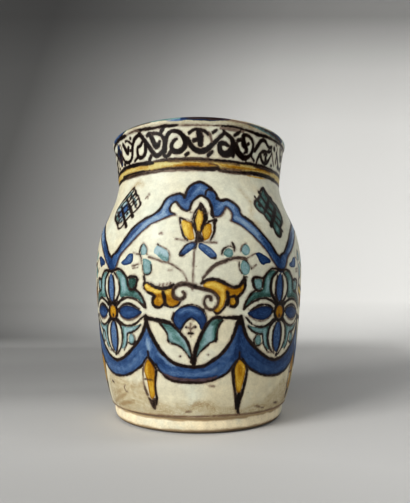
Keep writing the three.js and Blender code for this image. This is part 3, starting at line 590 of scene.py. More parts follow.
# The bands at the throat and lip, run all the way round
RINGS = (
    line(0.95, (2, 2.1, 1.8, 2, 2.1, 2.3, 2, 2), (94, 223), (130, 223.8), (180, 223.2), (230, 223.8),
         (273.3, 223.6), (330, 223.2), (400, 223.9), (450, 224.6)),
    dark((2.6, 3, 2.4), (-96, 224.8), (-87, 225), (-80, 225), (-76.5, 224.8)),
    brown((0.4, 1.2, 1.8, 2.2), (-77, 224.8), (-69, 225.2), (-62, 225.2), (-57, 224.6)),
    dark((1.8, 2.4, 2, 2.4, 1.6), (-60, 225), (-50, 224.4), (-42, 224), (-30, 223.9), (-17, 223.7)),
    brown((0.8, 1, 0.7, 1.2), (-18, 223.4), (-6, 223.2), (8, 223.2), (20, 223.3)),
    dark((1, 1.5, 1.9, 1.5), (15, 223.4), (26, 223.5), (36, 223.4), (45, 222.8)),
    dark((1.6, 2.2, 3, 2.6), (44, 223), (52, 222.4), (58, 222), (66, 222.1)),
    dark((2.4, 1.8, 2.2), (62, 222.6), (78, 222.6), (96, 223)),
    line(0.95, (2.4, 2.6, 3, 1.8, 2.4, 3), (86, 198.6), (120, 199), (180, 198.6), (230, 199.2),
         (273.3, 198.8), (330, 199.4), (400, 198.7), (462, 200)),
    dark((3, 3.2, 3.6, 2.6), (-90, 200.6), (-76, 200.2), (-60, 199.4), (-50, 198.8), (-43.6, 198.4)),
    line(0.75, (1.2, 2.2, 2.8, 3, 2.8), (-45, 199.3), (-34, 199.2), (-20, 198.8), (-6, 198.4),
         (10, 198.2)),
    dark((1.4, 2, 2.2, 2, 2.8, 2), (6, 198.5), (18, 198), (30, 198), (42, 197.8), (54, 198.5), (88, 199)),
    line(0.4, (1, 2, 1.4, 1.8, 1), (-28, 198), (-16, 197.8), (-4, 197.5), (8, 197.2), (18, 196.8)),
    line(0.2, (0.8, 1.6, 1), (18, 196.6), (28, 196.8), (40, 196)),
    line(0.8, (1, 2, 2), (56, 197.2), (66, 197.4), (88, 197.8)),
    line(0.95, (2.4, 2.2, 2.4, 1.8, 1.6, 2.8), (86, 191.4), (110, 191.4), (180, 191.9), (230, 191.2),
         (273.3, 191.5), (330, 191.9), (400, 191.2), (462, 192.6)),
    dark((1.4, 2.2, 2, 1.2), (-92, 194.2), (-78, 193.8), (-64, 193.4), (-48, 192.8)),
    line(0.6, (1.4, 3, 3, 2.6, 1.4), (-90, 191.8), (-76, 191.8), (-62, 191.6), (-48, 191.4),
         (-32, 191.2)),
    line(0.75, (1, 2.4, 2.8, 3.2, 3.4), (-44, 192.4), (-30, 192.3), (-20, 192), (-10, 191.9), (0, 191.6)),
    line(0.3, (0.8, 1.8, 1.4, 1), (-36, 190.9), (-24, 190.8), (-10, 190.4), (4, 190)),
    line(0.85, (2.6, 3.4, 3.8, 3.2, 1.6), (-2, 191.3), (6, 191.2), (13, 191.4), (18, 192), (21.5, 191)),
    line(0.6, (0.6, 1.2, 0.8), (10, 195.4), (16.5, 194.6), (20.5, 192.6)),
    line(0.7, (2.2, 3.2, 3, 2.8), (19, 190.6), (30, 190.1), (40, 190.3), (52, 190.8)),
    dark((1.8, 3, 3.2, 2.8), (42, 191.2), (56, 191.6), (70, 192), (94, 192.2)),
    line(0.3, (0.8, 1.6, 0.8), (22, 192.6), (34, 192), (46, 192.8)),
    ochre(0.16, 7, (-273.3, 195.3), (-200, 195.6), (-140, 195.1), (-70, 196), (0, 195.3), (70, 194.8),
          (140, 195.4), (210, 195.1), (273.3, 195.3)),
    ochre(0.15, (3, 3.6, 3.4, 2), (-104, 196.6), (-90, 197), (-76, 196.9), (-66, 196.6)),
    ochre(0.4, (2, 3.8, 2.2), (-66, 196.4), (-57, 196.2), (-49, 195.6)),
    # The palest stretch of the band, at the front left: thin yellow with a painted highlight
    ochre(0.0, (3.4, 5.2, 5, 3), (-48, 196.3), (-38, 196), (-28, 195.8), (-15, 195.9)),
    ochre(0.5, (0.8, 1.6, 1.2, 0.8), (-34, 194), (-24, 193.7), (-14, 193.5), (-4, 193.3)),
    ochre(0.78, (1, 2.2, 2.6, 1.4), (-14, 195.6), (-4, 195.2), (6, 195.2), (13, 195)),
    ochre(0.05, (0.8, 1.4, 0.8), (-12, 197), (0, 196.8), (10, 196.5)),
    ochre(0.3, (1.6, 2.6, 2.2), (20, 195.6), (30, 195), (44, 195)),
    ochre(0.1, (1.4, 2.4, 1.6), (44, 195.4), (52, 195.4), (60, 195.4)),
    ochre(0.68, (2, 3.2, 2.6), (60, 195.8), (70, 195.8), (82, 195.8)),
    ochre(0.9, (0.8, 2, 1.6, 0.8), (-22, 194.6), (-8, 194), (6, 193.8), (18, 194.6)),
    ochre(1.0, (0.6, 1.6, 0.6), (22, 194.4), (32, 193.8), (44, 194.2), (60, 195)),
    ochre(0.15, (0.7, 1.4, 0.9), (48, 188.9), (60, 189.2), (74, 189.8)),
    ochre(0.2, (2, 3, 2), (104, 195.8), (124, 195.4), (140, 195.6)),
    ochre(0.75, (1, 3, 1), (150, 195.2), (172, 195.5), (192, 195.2)),
    ochre(0.0, (2, 4, 2), (-190, 195.8), (-170, 195.4), (-155, 195.6)),
    ochre(0.75, (1, 3, 1), (-140, 195.4), (-118, 195.7), (-104, 195.4)),
    ochre(0.05, (2, 4, 1), (-250, 195.4), (-230, 195.7), (-214, 195.4)),
    cobalt(1.0, (5, 10, 11, 5), (-98, 221), (-97, 216), (-94, 211), (-92, 205.5)),
    line(0.9, (2, 4.5, 3), (-98, 218), (-95.5, 213), (-93, 207)),
    line(0.12, (2, 3, 2), (20, 221.8), (30, 221.9), (42, 221.6)),
    # A brownish film along the lower side of the lip, heavier towards the right
    dirt(0.2, (3, 5, 5, 6, 5), (-96, 227.4), (-50, 227.6), (-10, 227.4), (40, 226.6), (96, 225.6)),
    cobalt(0.7, (4, 6, 5, 1.6), (-106, 226.8), (-96, 226.8), (-88, 227.2), (-80, 228)),
    copper(0.9, (1, 2.6, 1), (-90, 228), (-82, 228.1), (-75, 228.2)),
    copper(0.5, (1, 2.2, 1.6, 2.4, 2), (-78, 229.2), (-60, 229.2), (-42, 229.2), (-24, 229),
           (-10, 228.8)),
    line(0.15, (0.5, 1, 0.6), (-72, 228.6), (-58, 228.6), (-44, 228.4)),
    cobalt(0.1, (0.8, 1.6, 0.8), (-28, 227.4), (-18, 227.2), (-6, 227.2)),
    copper(0.25, (1, 2.2, 2), (-26, 228.4), (-14, 228), (-2, 227.4)),
    cobalt(1.0, (2, 4.2, 4.4, 3, 1.4), (-14, 228.4), (-2, 228.3), (10, 228.2), (20, 228.4), (28, 228.6)),
    line(0.8, (0.8, 2.2, 2.4, 0.8), (-10, 228.6), (0, 228.4), (12, 228.3), (26, 228.6)),
    line(0.2, (0.6, 1.4, 1.4, 1), (20, 228.4), (30, 228.2), (42, 227.8), (54, 227.4)),
    dirt(0.35, (2, 5, 6, 6), (24, 227.6), (46, 226.8), (70, 225.8), (98, 225)),
    copper(0.3, (1, 2.8, 3.4, 3), (44, 227.8), (58, 227), (74, 226), (90, 225.2)),
    line(0.7, (0.8, 1.8, 2.2), (56, 227.4), (74, 226.4), (98, 224.6)),
    cobalt(0.5, (1.6, 3, 3), (76, 227.4), (88, 226.4), (100, 225.4)),
    copper(0.3, (4, 5, 3), (104, 228), (130, 227.8), (160, 228.2)),
    cobalt(0.8, (1, 2.6, 1), (112, 228.5), (128, 228.8), (146, 228.3)),
    line(0.3, (1, 2, 1), (150, 229), (175, 229.4), (200, 229)),
    cobalt(0.4, (2, 4, 2), (186, 227.6), (214, 228.2), (244, 227.8)),
    copper(0.4, (3, 5, 3), (-262, 228), (-230, 227.8), (-196, 228.2)),
    cobalt(0.85, (1, 2.8, 1), (-206, 228.6), (-184, 228.9), (-164, 228.4)),
    copper(0.2, (3, 4, 2), (-170, 227.6), (-140, 228), (-116, 227.8)),
    line(0.3, (1, 2, 1), (-150, 229.2), (-128, 229.4), (-110, 229.2)),
)

# Where dirt and bare clay show through the glaze, and painted shade under the belly's arris and beside a
# bump
DIRT_AND_SHADE = (
    line(0.1, (0.5, 1.1, 0.5), (-27.8, 141), (-26.4, 141.6), (-25.4, 140.8)),
    line(0.1, (0.8, 1.6, 0.7), (-47.4, 170.4), (-45.8, 171.4), (-44.6, 169.8)),
    brown((0.5, 1, 0.5), (-45.4, 173.6), (-43.6, 172.6)),
    brown((0.8, 1.4, 0.6), (-87, 32.8), (-84.6, 32.4), (-82.6, 32.2)),
    # A thin pale brown arc: painted shade on the lower left of a bump in the glaze
    line(0.0, (0.2, 0.4, 0.5, 0.2), (-64.6, 32.4), (-67, 30.6), (-66.4, 28), (-63, 27.2)),
    line(0.0, (0.3, 0.6, 0.3), (-9.4, 16.6), (-6.6, 16.9), (-4.6, 17.2)),
    brown((0.2, 0.7, 0.5), (51, 18), (54.4, 17.6), (57.4, 16.4)),
    brown((0.5, 0.9, 0.4), (59, 16), (62.4, 15.6)),
    brown((0.4, 1.1, 0.5), (75.6, 17.4), (79, 17), (82, 16.4)),
    # A brown line round the underside of the belly's arris: painted shade where the belly overhangs the
    # foot
    line(0.1, (0.7, 0.4, 1, 0.5, 0.9, 0.4, 0.8, 1.2, 0.5, 0.9, 0.6, 1.1, 0.5, 0.8, 0.7), (-273.3, 13),
         (-230, 12.8), (-180, 13.2), (-130, 12.7), (-95, 12.4), (-75, 12.3), (-50, 12.4), (-25, 12.9),
         (-5, 13.4), (20, 13.6), (50, 12.9), (80, 12.5), (130, 13.1), (200, 12.7), (273.3, 13)),
    wash("dirt", 0.35, (-90, 40), (-66, 38), (-48, 34), (-38, 26), (-26, 22), (-14, 18), (-14, 12),
         (-90, 12)),
    wash("dirt", 0.5, (-90, 26), (-74, 29), (-60, 25), (-52, 18), (-40, 15), (-90, 12)),
    dirt(0.85, (1.5, 3.2, 3, 1.5), (-98, 14), (-86, 18), (-76, 22), (-65, 25.5)),
    dirt(0.8, (1, 2.4, 1), (-88, 22), (-78, 25.5), (-70, 28)),
    dirt(0.9, (1.5, 3, 2), (-84, 14.5), (-72, 17.5), (-58, 21)),
    dirt(0.8, (1, 2.4, 1), (-58, 32), (-48, 34), (-44, 38)),
    wash("dirt", 0.3, (-18, 23), (-10, 24), (-2, 22), (8, 25), (16, 21), (18, 15), (4, 17), (-14, 15)),
    dirt(0.7, (2, 3, 2.6, 1), (-6, 21), (1, 22.2), (8, 21.6), (15, 18.6)),
    dirt(0.6, (1, 2.2, 1), (-20, 19), (-13, 18.6), (-5, 17)),
    wash("dirt", 0.3, (14, 20), (34, 20), (60, 22), (86, 36), (90, 12), (10, 12)),
    dirt(0.6, (1, 2.6, 2.6, 1), (48, 19), (58, 17.5), (70, 16.4), (90, 15)),
    dirt(0.5, (2, 4, 2), (-70, 181), (-62, 184), (-54, 182)),
    dirt(0.4, (2, 5, 2), (38, 176), (46, 168), (44, 158)),
    wash("dirt", 0.25, (34, 154), (48, 152), (52, 144), (40, 142)),
    wash("dirt", 0.5, (96, 34), (135, 30), (150, 14), (96, 12)),
    wash("dirt", 0.6, (176, 29), (215, 32), (228, 14), (172, 12)),
    wash("dirt", 0.5, (-255, 32), (-215, 28), (-205, 12), (-258, 12)),
    wash("dirt", 0.6, (-165, 26), (-125, 31), (-112, 13), (-168, 12)),
)


def placed(marks, middle, own_middle=0.0, squeeze=1.0, mirrored=False, hand=0, weight=1.0, painted_shade=0.0):
    """The marks moved along the chart. Every hand but the first wanders a little, as a repeat does."""
    way = -squeeze if mirrored else squeeze
    share = 1.0 if hand else 0.0
    moved = []
    for mark in marks:
        points = []
        for along, height in mark.points:
            drift = 0.5 * math.sin(height / 9 + hand) + 0.4 * math.sin(along / 7 + 2 * hand)
            rise = 0.45 * math.sin(along / 11 + 3 * hand)
            points.append((middle + (along - own_middle) * way + share * drift, height + share * rise))
        is_line = mark.pigment == "manganese"
        widths = mark.widths and [width * (weight if is_line else 1.0) for width in mark.widths]
        # Washes can be deepened as painted shade
        tone = mark.tone if is_line else min(1.0, mark.tone + painted_shade)
        moved.append(mark._replace(points=points, widths=widths, tone=tone))
    return moved


def painting():
    """Every mark on the jar, in the order of the panels."""
    marks = list(RINGS + DIRT_AND_SHADE)
    for hand, (middle, squeeze) in enumerate(SCROLLS):
        marks += placed(SCROLL_BAND, middle, SCROLL_CENTRE, squeeze, hand=hand, weight=1.45)
    for hand, (middle, squeeze) in enumerate(PANELS):
        for motif, weight in (
            (ARCH, 0.9), (TULIP, 0.78), (LEFT_BUDS, 0.62), (RIGHT_BUDS, 0.75), (PALMETTES, 0.95),
            (LUNETTE, 0.82), (DOME_FLOWER, 0.8), (PENDANTS, 0.8),
        ):
            marks += placed(motif, middle, FRONT_CENTRE, squeeze, hand=hand, weight=weight)
    for hand, middle in enumerate(ROSETTES):
        # Every other rosette, the right one on the front among them, gets deeper washes: painted shade for
        # the shaded right side of the jar
        painted_shade = 0.18 if hand % 2 else 0.0
        for mirrored, own_hand in ((False, hand + 4), (True, hand + 8)):
            marks += placed(
                ROSETTE_HALF, middle, mirrored=mirrored, hand=own_hand, weight=0.85, painted_shade=painted_shade
            )
        if not painted_shade:
            marks += placed(DARK_LOBE, middle)
        marks += placed(ROSETTE_MIDDLE, middle, painted_shade=painted_shade)
        marks += placed(RIGHT_LOZENGE if hand % 2 else LEFT_LOZENGE, middle)
    return marks


def brush_path(points, closed):
    """A smooth path through the points. A point given twice makes a corner."""
    given = np.array(points, float)
    if closed:
        ends = np.vstack([given[-1:], given, given[:2]])
    else:
        ends = np.vstack([2 * given[:1] - given[1:2], given, 2 * given[-1:] - given[-2:-1]])
    a, b, c, d = (ends[i:len(ends) - 3 + i, None] for i in range(4))
    t = np.linspace(0, 1, 5)[:-1, None]
    path = 0.5 * (
        2 * b + (c - a) * t + (2 * a - 5 * b + 4 * c - d) * t**2 + (3 * b - a - 3 * c + d) * t**3
    )
    return np.vstack([path.reshape(-1, 2), ends[-2:-1]])


def distance_to_mark(spots, mark, path):
    """How far each spot lies outside the mark's edge. Inside it is negative."""
    start, run = path[:-1], path[1:] - path[:-1]
    away = spots[:, None] - start
    share = np.clip((away * run).sum(2) / np.maximum((run**2).sum(1), 1e-9), 0, 1)
    gap = np.hypot(*(away - share[..., None] * run).transpose(2, 0, 1))
    if mark.widths is None:
        x, y = away[..., 0], away[..., 1]
        straddles = (y > 0) != (y > run[:, 1])
        rise = np.where(run[:, 1] == 0, 1e-9, run[:, 1])
        inside = (straddles & (x < y * run[:, 0] / rise)).sum(1) % 2 == 1
        edge = gap.min(1)
        return np.where(inside, -edge, edge)
    along = (np.arange(len(run)) + share) / len(run)
    stations = np.linspace(0, 1, len(mark.widths))
    return (gap - np.interp(along, stations, mark.widths) / 2).min(1)


def paint(spots, marks):
    """For each pigment, the distance of every spot from its nearest edge, and that mark's tone."""
    layers = {name: (np.full(len(spots), FAR), np.full(len(spots), 0.5)) for name in PIGMENTS}
    for mark in marks:
        path = brush_path(mark.points, mark.widths is None)
        low, high = path.min(0) - REACH, path.max(0) + REACH
        middle = (low[0] + high[0]) / 2
        along = (spots[:, 0] - middle + CHART_LENGTH / 2) % CHART_LENGTH - CHART_LENGTH / 2 + middle
        beside = (along > low[0]) & (along < high[0])
        near = np.flatnonzero(beside & (spots[:, 1] > low[1]) & (spots[:, 1] < high[1]))
        if len(near) == 0:
            continue
        local = np.column_stack([along[near], spots[near, 1]])
        distance = distance_to_mark(local, mark, path)
        edge, tone = layers[mark.pigment]
        share = np.where(distance < edge[near], 1.0, 0.0)
        if mark.widths is not None and mark.pigment != "manganese":
            share = np.where(edge[near] < 0, np.clip(0.5 - distance / 2, 0, 1), share)
        tone[near] += (mark.tone - tone[near]) * share
        edge[near] = np.minimum(edge[near], distance)
    return layers


def chart_spots(places):
    """Places in metres as spots on the chart."""
    angle = np.arctan2(places[:, 0], -places[:, 1])
    return np.column_stack([angle * CHART_RADIUS, places[:, 2] / MM])


def length(name, description, default, least=0.0):
    """A length that a user may change."""
    return FloatProperty(
        name=name, description=description, default=default, min=least, unit="LENGTH", subtype="DISTANCE"
    )


class JarSizes(bpy.types.PropertyGroup):
    girth_radius: length(
        "Girth Radius", "Widest radius of the belly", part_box("belly_glaze")[1].x - CLEARANCE, 0.01
    )
    girth_height: length("Girth Height", "Height of the widest place", 0.1175, 0.01)
    foot_height: length("Foot Height", "Top of the foot ring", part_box("foot_ring")[1].z, 0.001)
    throat_height: length("Throat Height", "Where the belly ends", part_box("belly_glaze")[1].z, 0.01)
    neck_height: length("Neck Height", "Top of the ochre band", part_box("throat_glaze")[1].z, 0.01)
    lip_height: length("Lip Height", "Where the lip begins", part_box("neck_glaze")[1].z, 0.01)
    top_height: length("Top", "Crown of the lip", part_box("lip_glaze")[1].z, 0.01)
    tread_radius: length("Tread Radius", "Outside of the flat tread of the foot ring", 0.0645, 0.01)
    foot_radius: length("Foot Radius", "Widest radius of the foot ring", 0.07, 0.01)
    bore_radius: length("Foot Bore", "Inner radius of the foot ring", 0.0575, 0.01)
    overhang: length("Overhang", "Step from the foot out to the belly", 0.0029)
    arris: length("Arris", "Rounding of the belly's lower edge", 0.0022, 0.0001)
    throat_radius: length("Throat Radius", "Narrowest radius, under the ochre band", 0.0705, 0.01)
    neck_flare: length("Neck Flare", "How far the neck opens up to the lip", 0.0042)
    lip_flare: length("Lip Flare", "How far the lip stands out from the neck", 0.00145)
    lip_roll: length("Lip Roll", "Radius of the rounded lip", 0.003, 0.0005)
    floor_height: length("Floor Height", "Inside floor above the table", 0.015, 0.001)
    base_wall: length("Wall at Base", "Thickness of the wall above the foot", 0.0095, 0.001)
    throat_wall: length("Wall at Throat", "Thickness of the wall at the throat", 0.0064, 0.001)
    neck_wall: length("Wall of Neck", "Thickness of the neck", 0.0056, 0.001)
    glaze: length("Glaze", "Thickness of the glaze", 0.0006, 0.0001)
    mesh_step: length("Mesh Step", "Height of a row of faces on the painted coats", MESH_STEP, 0.0005)
    mesh_turns: IntProperty(
        name="Mesh Turns", description="Faces round the jar, a multiple of 8", default=344, min=64, step=8,
    )


def tint(name, description, colour):
    """A colour that a user may change."""
    return FloatVectorProperty(
        name=name, description=description, default=(*colour, 1), size=4, min=0, max=1, subtype="COLOR"
    )


class JarColours(bpy.types.PropertyGroup):
    cream: tint("Tin Glaze", "Off-white ground", (0.635, 0.63, 0.505))
    cream_warm: tint("Tin Glaze, Warm", "Where the ground is yellower", (0.66, 0.6, 0.42))
    cream_cool: tint("Tin Glaze, Cool", "Where the ground is greener", (0.63, 0.665, 0.56))
    # A peach tone, made lighter than the body's cream as painted light on the foot; the lining shares it
    foot_cream_and_light: tint("Tin Glaze, Foot", "Peach cream of the foot and the inside", (0.85, 0.745, 0.52))
    # Also the colour of the painted shade in the crevice over the foot
    stain_and_shade: tint("Stain", "Dirt and clay that show near the foot", (0.3, 0.19, 0.085))
    cobalt_pale: tint("Cobalt, Thin", "Watery blue", (0.17, 0.31, 0.47))
    cobalt: tint("Cobalt", "Blue", (0.042, 0.112, 0.275))
    cobalt_deep: tint("Cobalt, Thick", "Blue where the brush was full", (0.005, 0.016, 0.06))
    copper_pale: tint("Copper, Thin", "Watery green", (0.275, 0.445, 0.57))
    copper: tint("Copper", "Green", (0.115, 0.25, 0.23))
    copper_deep: tint("Copper, Thick", "Green where the brush was full", (0.004, 0.028, 0.018))
    ochre_pale: tint("Ochre, Thin", "Watery yellow", (0.76, 0.6, 0.085))
    lemon: tint("Lemon", "Thin yellow of the throat band", (0.62, 0.54, 0.075))
    ochre: tint("Ochre", "Yellow", (0.48, 0.245, 0.005))
    ochre_deep: tint("Ochre, Thick", "Orange brown", (0.2, 0.07, 0.001))
    manganese_pale: tint("Manganese, Thin", "Purple brown", (0.13, 0.065, 0.045))
    manganese: tint("Manganese", "Dark brown", (0.018, 0.008, 0.006))
    manganese_deep: tint("Manganese, Thick", "Near black", (0.0025, 0.0018, 0.0016))
    dirt: tint("Dirt", "Brown film on the glaze", (0.4, 0.33, 0.18))
    bleed: tint("Bleed", "Tinge round the dark lines", (0.3, 0.2, 0.19))
    clay: tint("Clay", "Fired earthenware", (0.47, 0.34, 0.2))
    clay_dark: tint("Clay, Dark", "Worn and dirty clay", (0.26, 0.17, 0.09))
    floor: tint("Floor", "Pale floor", (1, 0.995, 0.98))
    wall: tint("Wall", "Plain wall behind the jar", (1, 1, 0.985))


def add_node(tree, kind, inputs=None, **settings):
    """A shader node with its settings, and its inputs set or linked."""
    node = tree.nodes.new(kind)
    for name, value in settings.items():
        setattr(node, name, value)
    for name, value in (inputs or {}).items():
        if isinstance(value, bpy.types.NodeSocket):
            tree.links.new(value, node.inputs[name])
        else:
            node.inputs[name].default_value = value
    return node


def calc(tree, operation, first, second, clamp=False):
    inputs = {0: first, 1: second}
    return add_node(tree, "ShaderNodeMath", inputs, operation=operation, use_clamp=clamp).outputs[0]


def mixed(tree, share, first, second, blend="MIX"):
    inputs = {0: share, 6: first, 7: second}
    return add_node(tree, "ShaderNodeMix", inputs, data_type="RGBA", blend_type=blend).outputs[2]


def ranged(tree, value, low, high, to_low=0.0, to_high=1.0):
    """The value eased from one range to another. The first range may run downward."""
    inputs = {"Value": value, "From Min": low, "From Max": high, "To Min": to_low, "To Max": to_high}
    return add_node(tree, "ShaderNodeMapRange", inputs, interpolation_type="SMOOTHSTEP").outputs[0]


def noise(tree, vector, scale, detail=2.0, roughness=0.5, across=None):
    """Cloudy noise. A value across it makes a fourth direction to move in."""
    inputs = {"Vector": vector, "Scale": scale, "Detail": detail, "Roughness": roughness}
    if across is None:
        return add_node(tree, "ShaderNodeTexNoise", inputs).outputs[0]
    return add_node(tree, "ShaderNodeTexNoise", {**inputs, "W": across}, noise_dimensions="4D").outputs[0]


def ramp(tree, value, low, high, shades, colour=(1, 1, 1, 1)):
    """Even steps of a colour, from its share in the first shade to that in the last."""
    way = calc(tree, "DIVIDE", calc(tree, "SUBTRACT", value, low), high - low, clamp=True)
    node = add_node(tree, "ShaderNodeValToRGB", {0: way})
    stops = node.color_ramp.elements
    while len(stops) < len(shades):
        stops.new(0.5)
    for index, shade in enumerate(shades):
        stops[index].position = index / (len(shades) - 1)
        stops[index].color = [part * shade for part in colour[:3]] + [1]
    return node.outputs["Color"]


def object_place(tree, scale=(1, 1, 1), shift=(0, 0, 0)):
    place = add_node(tree, "ShaderNodeTexCoord").outputs["Object"]
    inputs = {"Vector": place, "Location": shift, "Scale": scale}
    return add_node(tree, "ShaderNodeMapping", inputs).outputs[0]


def node_group(name, inputs, outputs):
    """An empty shader group. Inputs and outputs are names with kinds or default values."""
    tree = bpy.data.node_groups.new(name, "ShaderNodeTree")
    for label, default in inputs.items():
        kind = "NodeSocketFloat" if isinstance(default, float) else "NodeSocketColor"
        tree.interface.new_socket(name=label, in_out="INPUT", socket_type=kind).default_value = default
    for label, kind in outputs.items():
        tree.interface.new_socket(name=label, in_out="OUTPUT", socket_type=kind)
    return tree, tree.nodes.new("NodeGroupInput").outputs, tree.nodes.new("NodeGroupOutput").inputs


GREY = (0.5, 0.5, 0.5, 1)


def glaze_ground_group():
    """Tin glaze: a drifting off-white that is warmer low down, with stains, specks, pinholes and painted
    shade in the crevice over the foot.
    """
    tree, given, out = node_group(
        "glaze_ground",
        {
            "Cream": GREY, "Warm": GREY, "Cool": GREY, "Stain": GREY,
            "Stain Height": 0.04, "Stain Strength": 0.6,
        },
        {"Color": "NodeSocketColor", "Height": "NodeSocketFloat", "Roughness": "NodeSocketFloat"},
    )
    place = object_place(tree)
    height = add_node(tree, "ShaderNodeSeparateXYZ", {0: place}).outputs["Z"]

    # The cream, drifting between a warmer and a cooler one
    warm = ranged(tree, noise(tree, place, 21, 4), 0.42, 0.66, 0.0, 0.75)
    warm = calc(tree, "ADD", warm, ranged(tree, height, 0.07, 0.015, 0.0, 0.75), clamp=True)
    moved = object_place(tree, shift=(3, 1, 2))
    cool = ranged(tree, noise(tree, moved, 36, 5, 0.6), 0.48, 0.72, 0, 0.6)
    colour = mixed(tree, warm, given["Cream"], given["Warm"])
    colour = mixed(tree, cool, colour, given["Cool"])
    cloud = ranged(tree, noise(tree, place, 170, 5, 0.65), 0.3, 0.7, 0.88, 1.05)
    grain = ranged(tree, noise(tree, place, 1100, 3, 0.7), 0.25, 0.75, 0.9, 1.08)
    colour = mixed(tree, 1.0, colour, calc(tree, "MULTIPLY", cloud, grain), "MULTIPLY")

    # Stains low down and on the scuffed tread, and painted shade in the crevice between the foot and the
    # belly's overhang
    low = ranged(tree, height, given["Stain Height"], 0.0)
    smear = noise(tree, object_place(tree, scale=(1, 1, 2.4)), 40, 7, 0.66)
    smear = ranged(tree, calc(tree, "ADD", smear, calc(tree, "MULTIPLY", low, 0.25)), 0.6, 0.84)
    flecks = ranged(tree, noise(tree, place, 480, 3, 0.7), 0.56, 0.72, 0.0, 0.7)
    smear = calc(tree, "ADD", smear, flecks)
    smear = calc(tree, "MULTIPLY", calc(tree, "MULTIPLY", smear, low), given["Stain Strength"])
    colour = mixed(tree, smear, colour, given["Stain"])
    uneven = calc(tree, "MULTIPLY", calc(tree, "SUBTRACT", noise(tree, place, 130, 3), 0.5), 0.003)
    level = calc(tree, "ADD", height, uneven)
    below, above = ranged(tree, level, 0.0146, 0.0122, 0.0, 0.8), ranged(tree, level, 0.0088, 0.0102)
    # Painted shade: a dark band in the crevice under the belly's overhang
    crevice_shade = calc(tree, "MULTIPLY", below, above)
    scuffed = ranged(tree, level, 0.0042, 0.0022, 0.0, 0.8)
    colour = mixed(tree, calc(tree, "MAXIMUM", crevice_shade, scuffed), colour, given["Stain"])

    # Specks and pinholes
    dots = []
    for scale, share, size in ((75.0, 0.66, 0.06), (190.0, 0.8, 0.1)):
        cells = add_node(tree, "ShaderNodeTexVoronoi", {"Vector": place, "Scale": scale})
        pick = add_node(tree, "ShaderNodeSeparateColor", {0: cells.outputs["Color"]}).outputs[0]
        near = ranged(tree, cells.outputs["Distance"], size, size * 0.35)
        dots.append(calc(tree, "MULTIPLY", near, calc(tree, "GREATER_THAN", pick, share)))
    speck = calc(tree, "MAXIMUM", *dots)
    colour = mixed(tree, calc(tree, "MULTIPLY", speck, 0.75), colour, given["Stain"])

    # Throwing rings, slow unevenness, orange peel and pits
    rings = noise(tree, object_place(tree, scale=(5, 5, 190)), 1.0, 2)
    ripple = noise(tree, place, 45, 2)
    peel = noise(tree, place, 330, 2)
    relief = calc(tree, "MULTIPLY", rings, 0.3)
    relief = calc(tree, "ADD", relief, calc(tree, "MULTIPLY", ripple, 1.1))
    relief = calc(tree, "ADD", relief, calc(tree, "MULTIPLY", peel, 0.14))
    relief = calc(tree, "SUBTRACT", relief, calc(tree, "MULTIPLY", speck, 0.5))

    tree.links.new(colour, out["Color"])
    tree.links.new(relief, out["Height"])
    tree.links.new(ranged(tree, noise(tree, place, 60, 4), 0.3, 0.75, 0.34, 0.5), out["Roughness"])


def brushed_pigment_group():
    """One pigment over what lies under it, with ragged edges and streaks that follow the stroke."""
    tree, given, out = node_group(
        "brushed_pigment",
        {
            "Under": GREY, "Edge": 0.0, "Tone": 0.5, "Thin": GREY, "Middle": GREY, "Thick": GREY,
            "Ragged": 0.5, "Grain": 620.0, "Softness": 0.3, "Streaks": 0.4, "Rim": 0.0, "Cover": 0.6,
        },
        {"Color": "NodeSocketColor", "Mask": "NodeSocketFloat"},
    )
    place = object_place(tree)
    fine = noise(tree, place, given["Grain"], 4, 0.65)
    slow = noise(tree, place, calc(tree, "MULTIPLY", given["Grain"], 0.25), 2)
    fringe = calc(tree, "SUBTRACT", calc(tree, "ADD", fine, slow), 1.0)
    edge = calc(tree, "ADD", given["Edge"], calc(tree, "MULTIPLY", fringe, given["Ragged"]))
    mask = ranged(tree, edge, given["Softness"], calc(tree, "MULTIPLY", given["Softness"], -1.0))

    drawn = noise(tree, place, 48, 3, 0.6, across=calc(tree, "MULTIPLY", given["Edge"], 1.5))
    drawn = ranged(tree, drawn, 0.34, 0.66, -0.75, 0.75)
    pooled = ranged(tree, noise(tree, place, 330, 5, 0.75), 0.3, 0.7, -0.25, 0.25)
    change = calc(tree, "MULTIPLY", calc(tree, "ADD", drawn, pooled), given["Streaks"])
    rim = calc(tree, "MULTIPLY", ranged(tree, given["Edge"], -1.7, -0.1), given["Rim"])
    tone = calc(tree, "ADD", calc(tree, "ADD", given["Tone"], rim), change, clamp=True)
    colour = mixed(tree, calc(tree, "MULTIPLY", tone, 2.0, clamp=True), given["Thin"], given["Middle"])
    over_half = calc(tree, "SUBTRACT", calc(tree, "MULTIPLY", tone, 2.0), 1.0, clamp=True)
    colour = mixed(tree, over_half, colour, given["Thick"])

    cover = ranged(tree, tone, 0.0, 0.5, given["Cover"], 1.0)
    mask = calc(tree, "MULTIPLY", mask, cover)
    tree.links.new(mixed(tree, mask, given["Under"], colour), out["Color"])
    tree.links.new(mask, out["Mask"])


def bled_pigment_group():
    """The stain that a dark line leaves in the wet glaze round it."""
    tree, given, out = node_group(
        "bled_pigment",
        {"Under": GREY, "Edge": 0.0, "Stain": GREY, "Reach": 1.4, "Strength": 0.5},
        {"Color": "NodeSocketColor"},
    )
    place = object_place(tree)
    uneven = calc(tree, "MULTIPLY", calc(tree, "SUBTRACT", noise(tree, place, 210, 4, 0.6), 0.5), 2.2)
    near = ranged(tree, calc(tree, "ADD", given["Edge"], uneven), given["Reach"], -0.3)
    share = calc(tree, "MULTIPLY", near, given["Strength"])
    tree.links.new(mixed(tree, share, given["Under"], given["Stain"], "MULTIPLY"), out["Color"])


def group_node(tree, group, inputs):
    return add_node(tree, "ShaderNodeGroup", inputs, node_tree=group).outputs


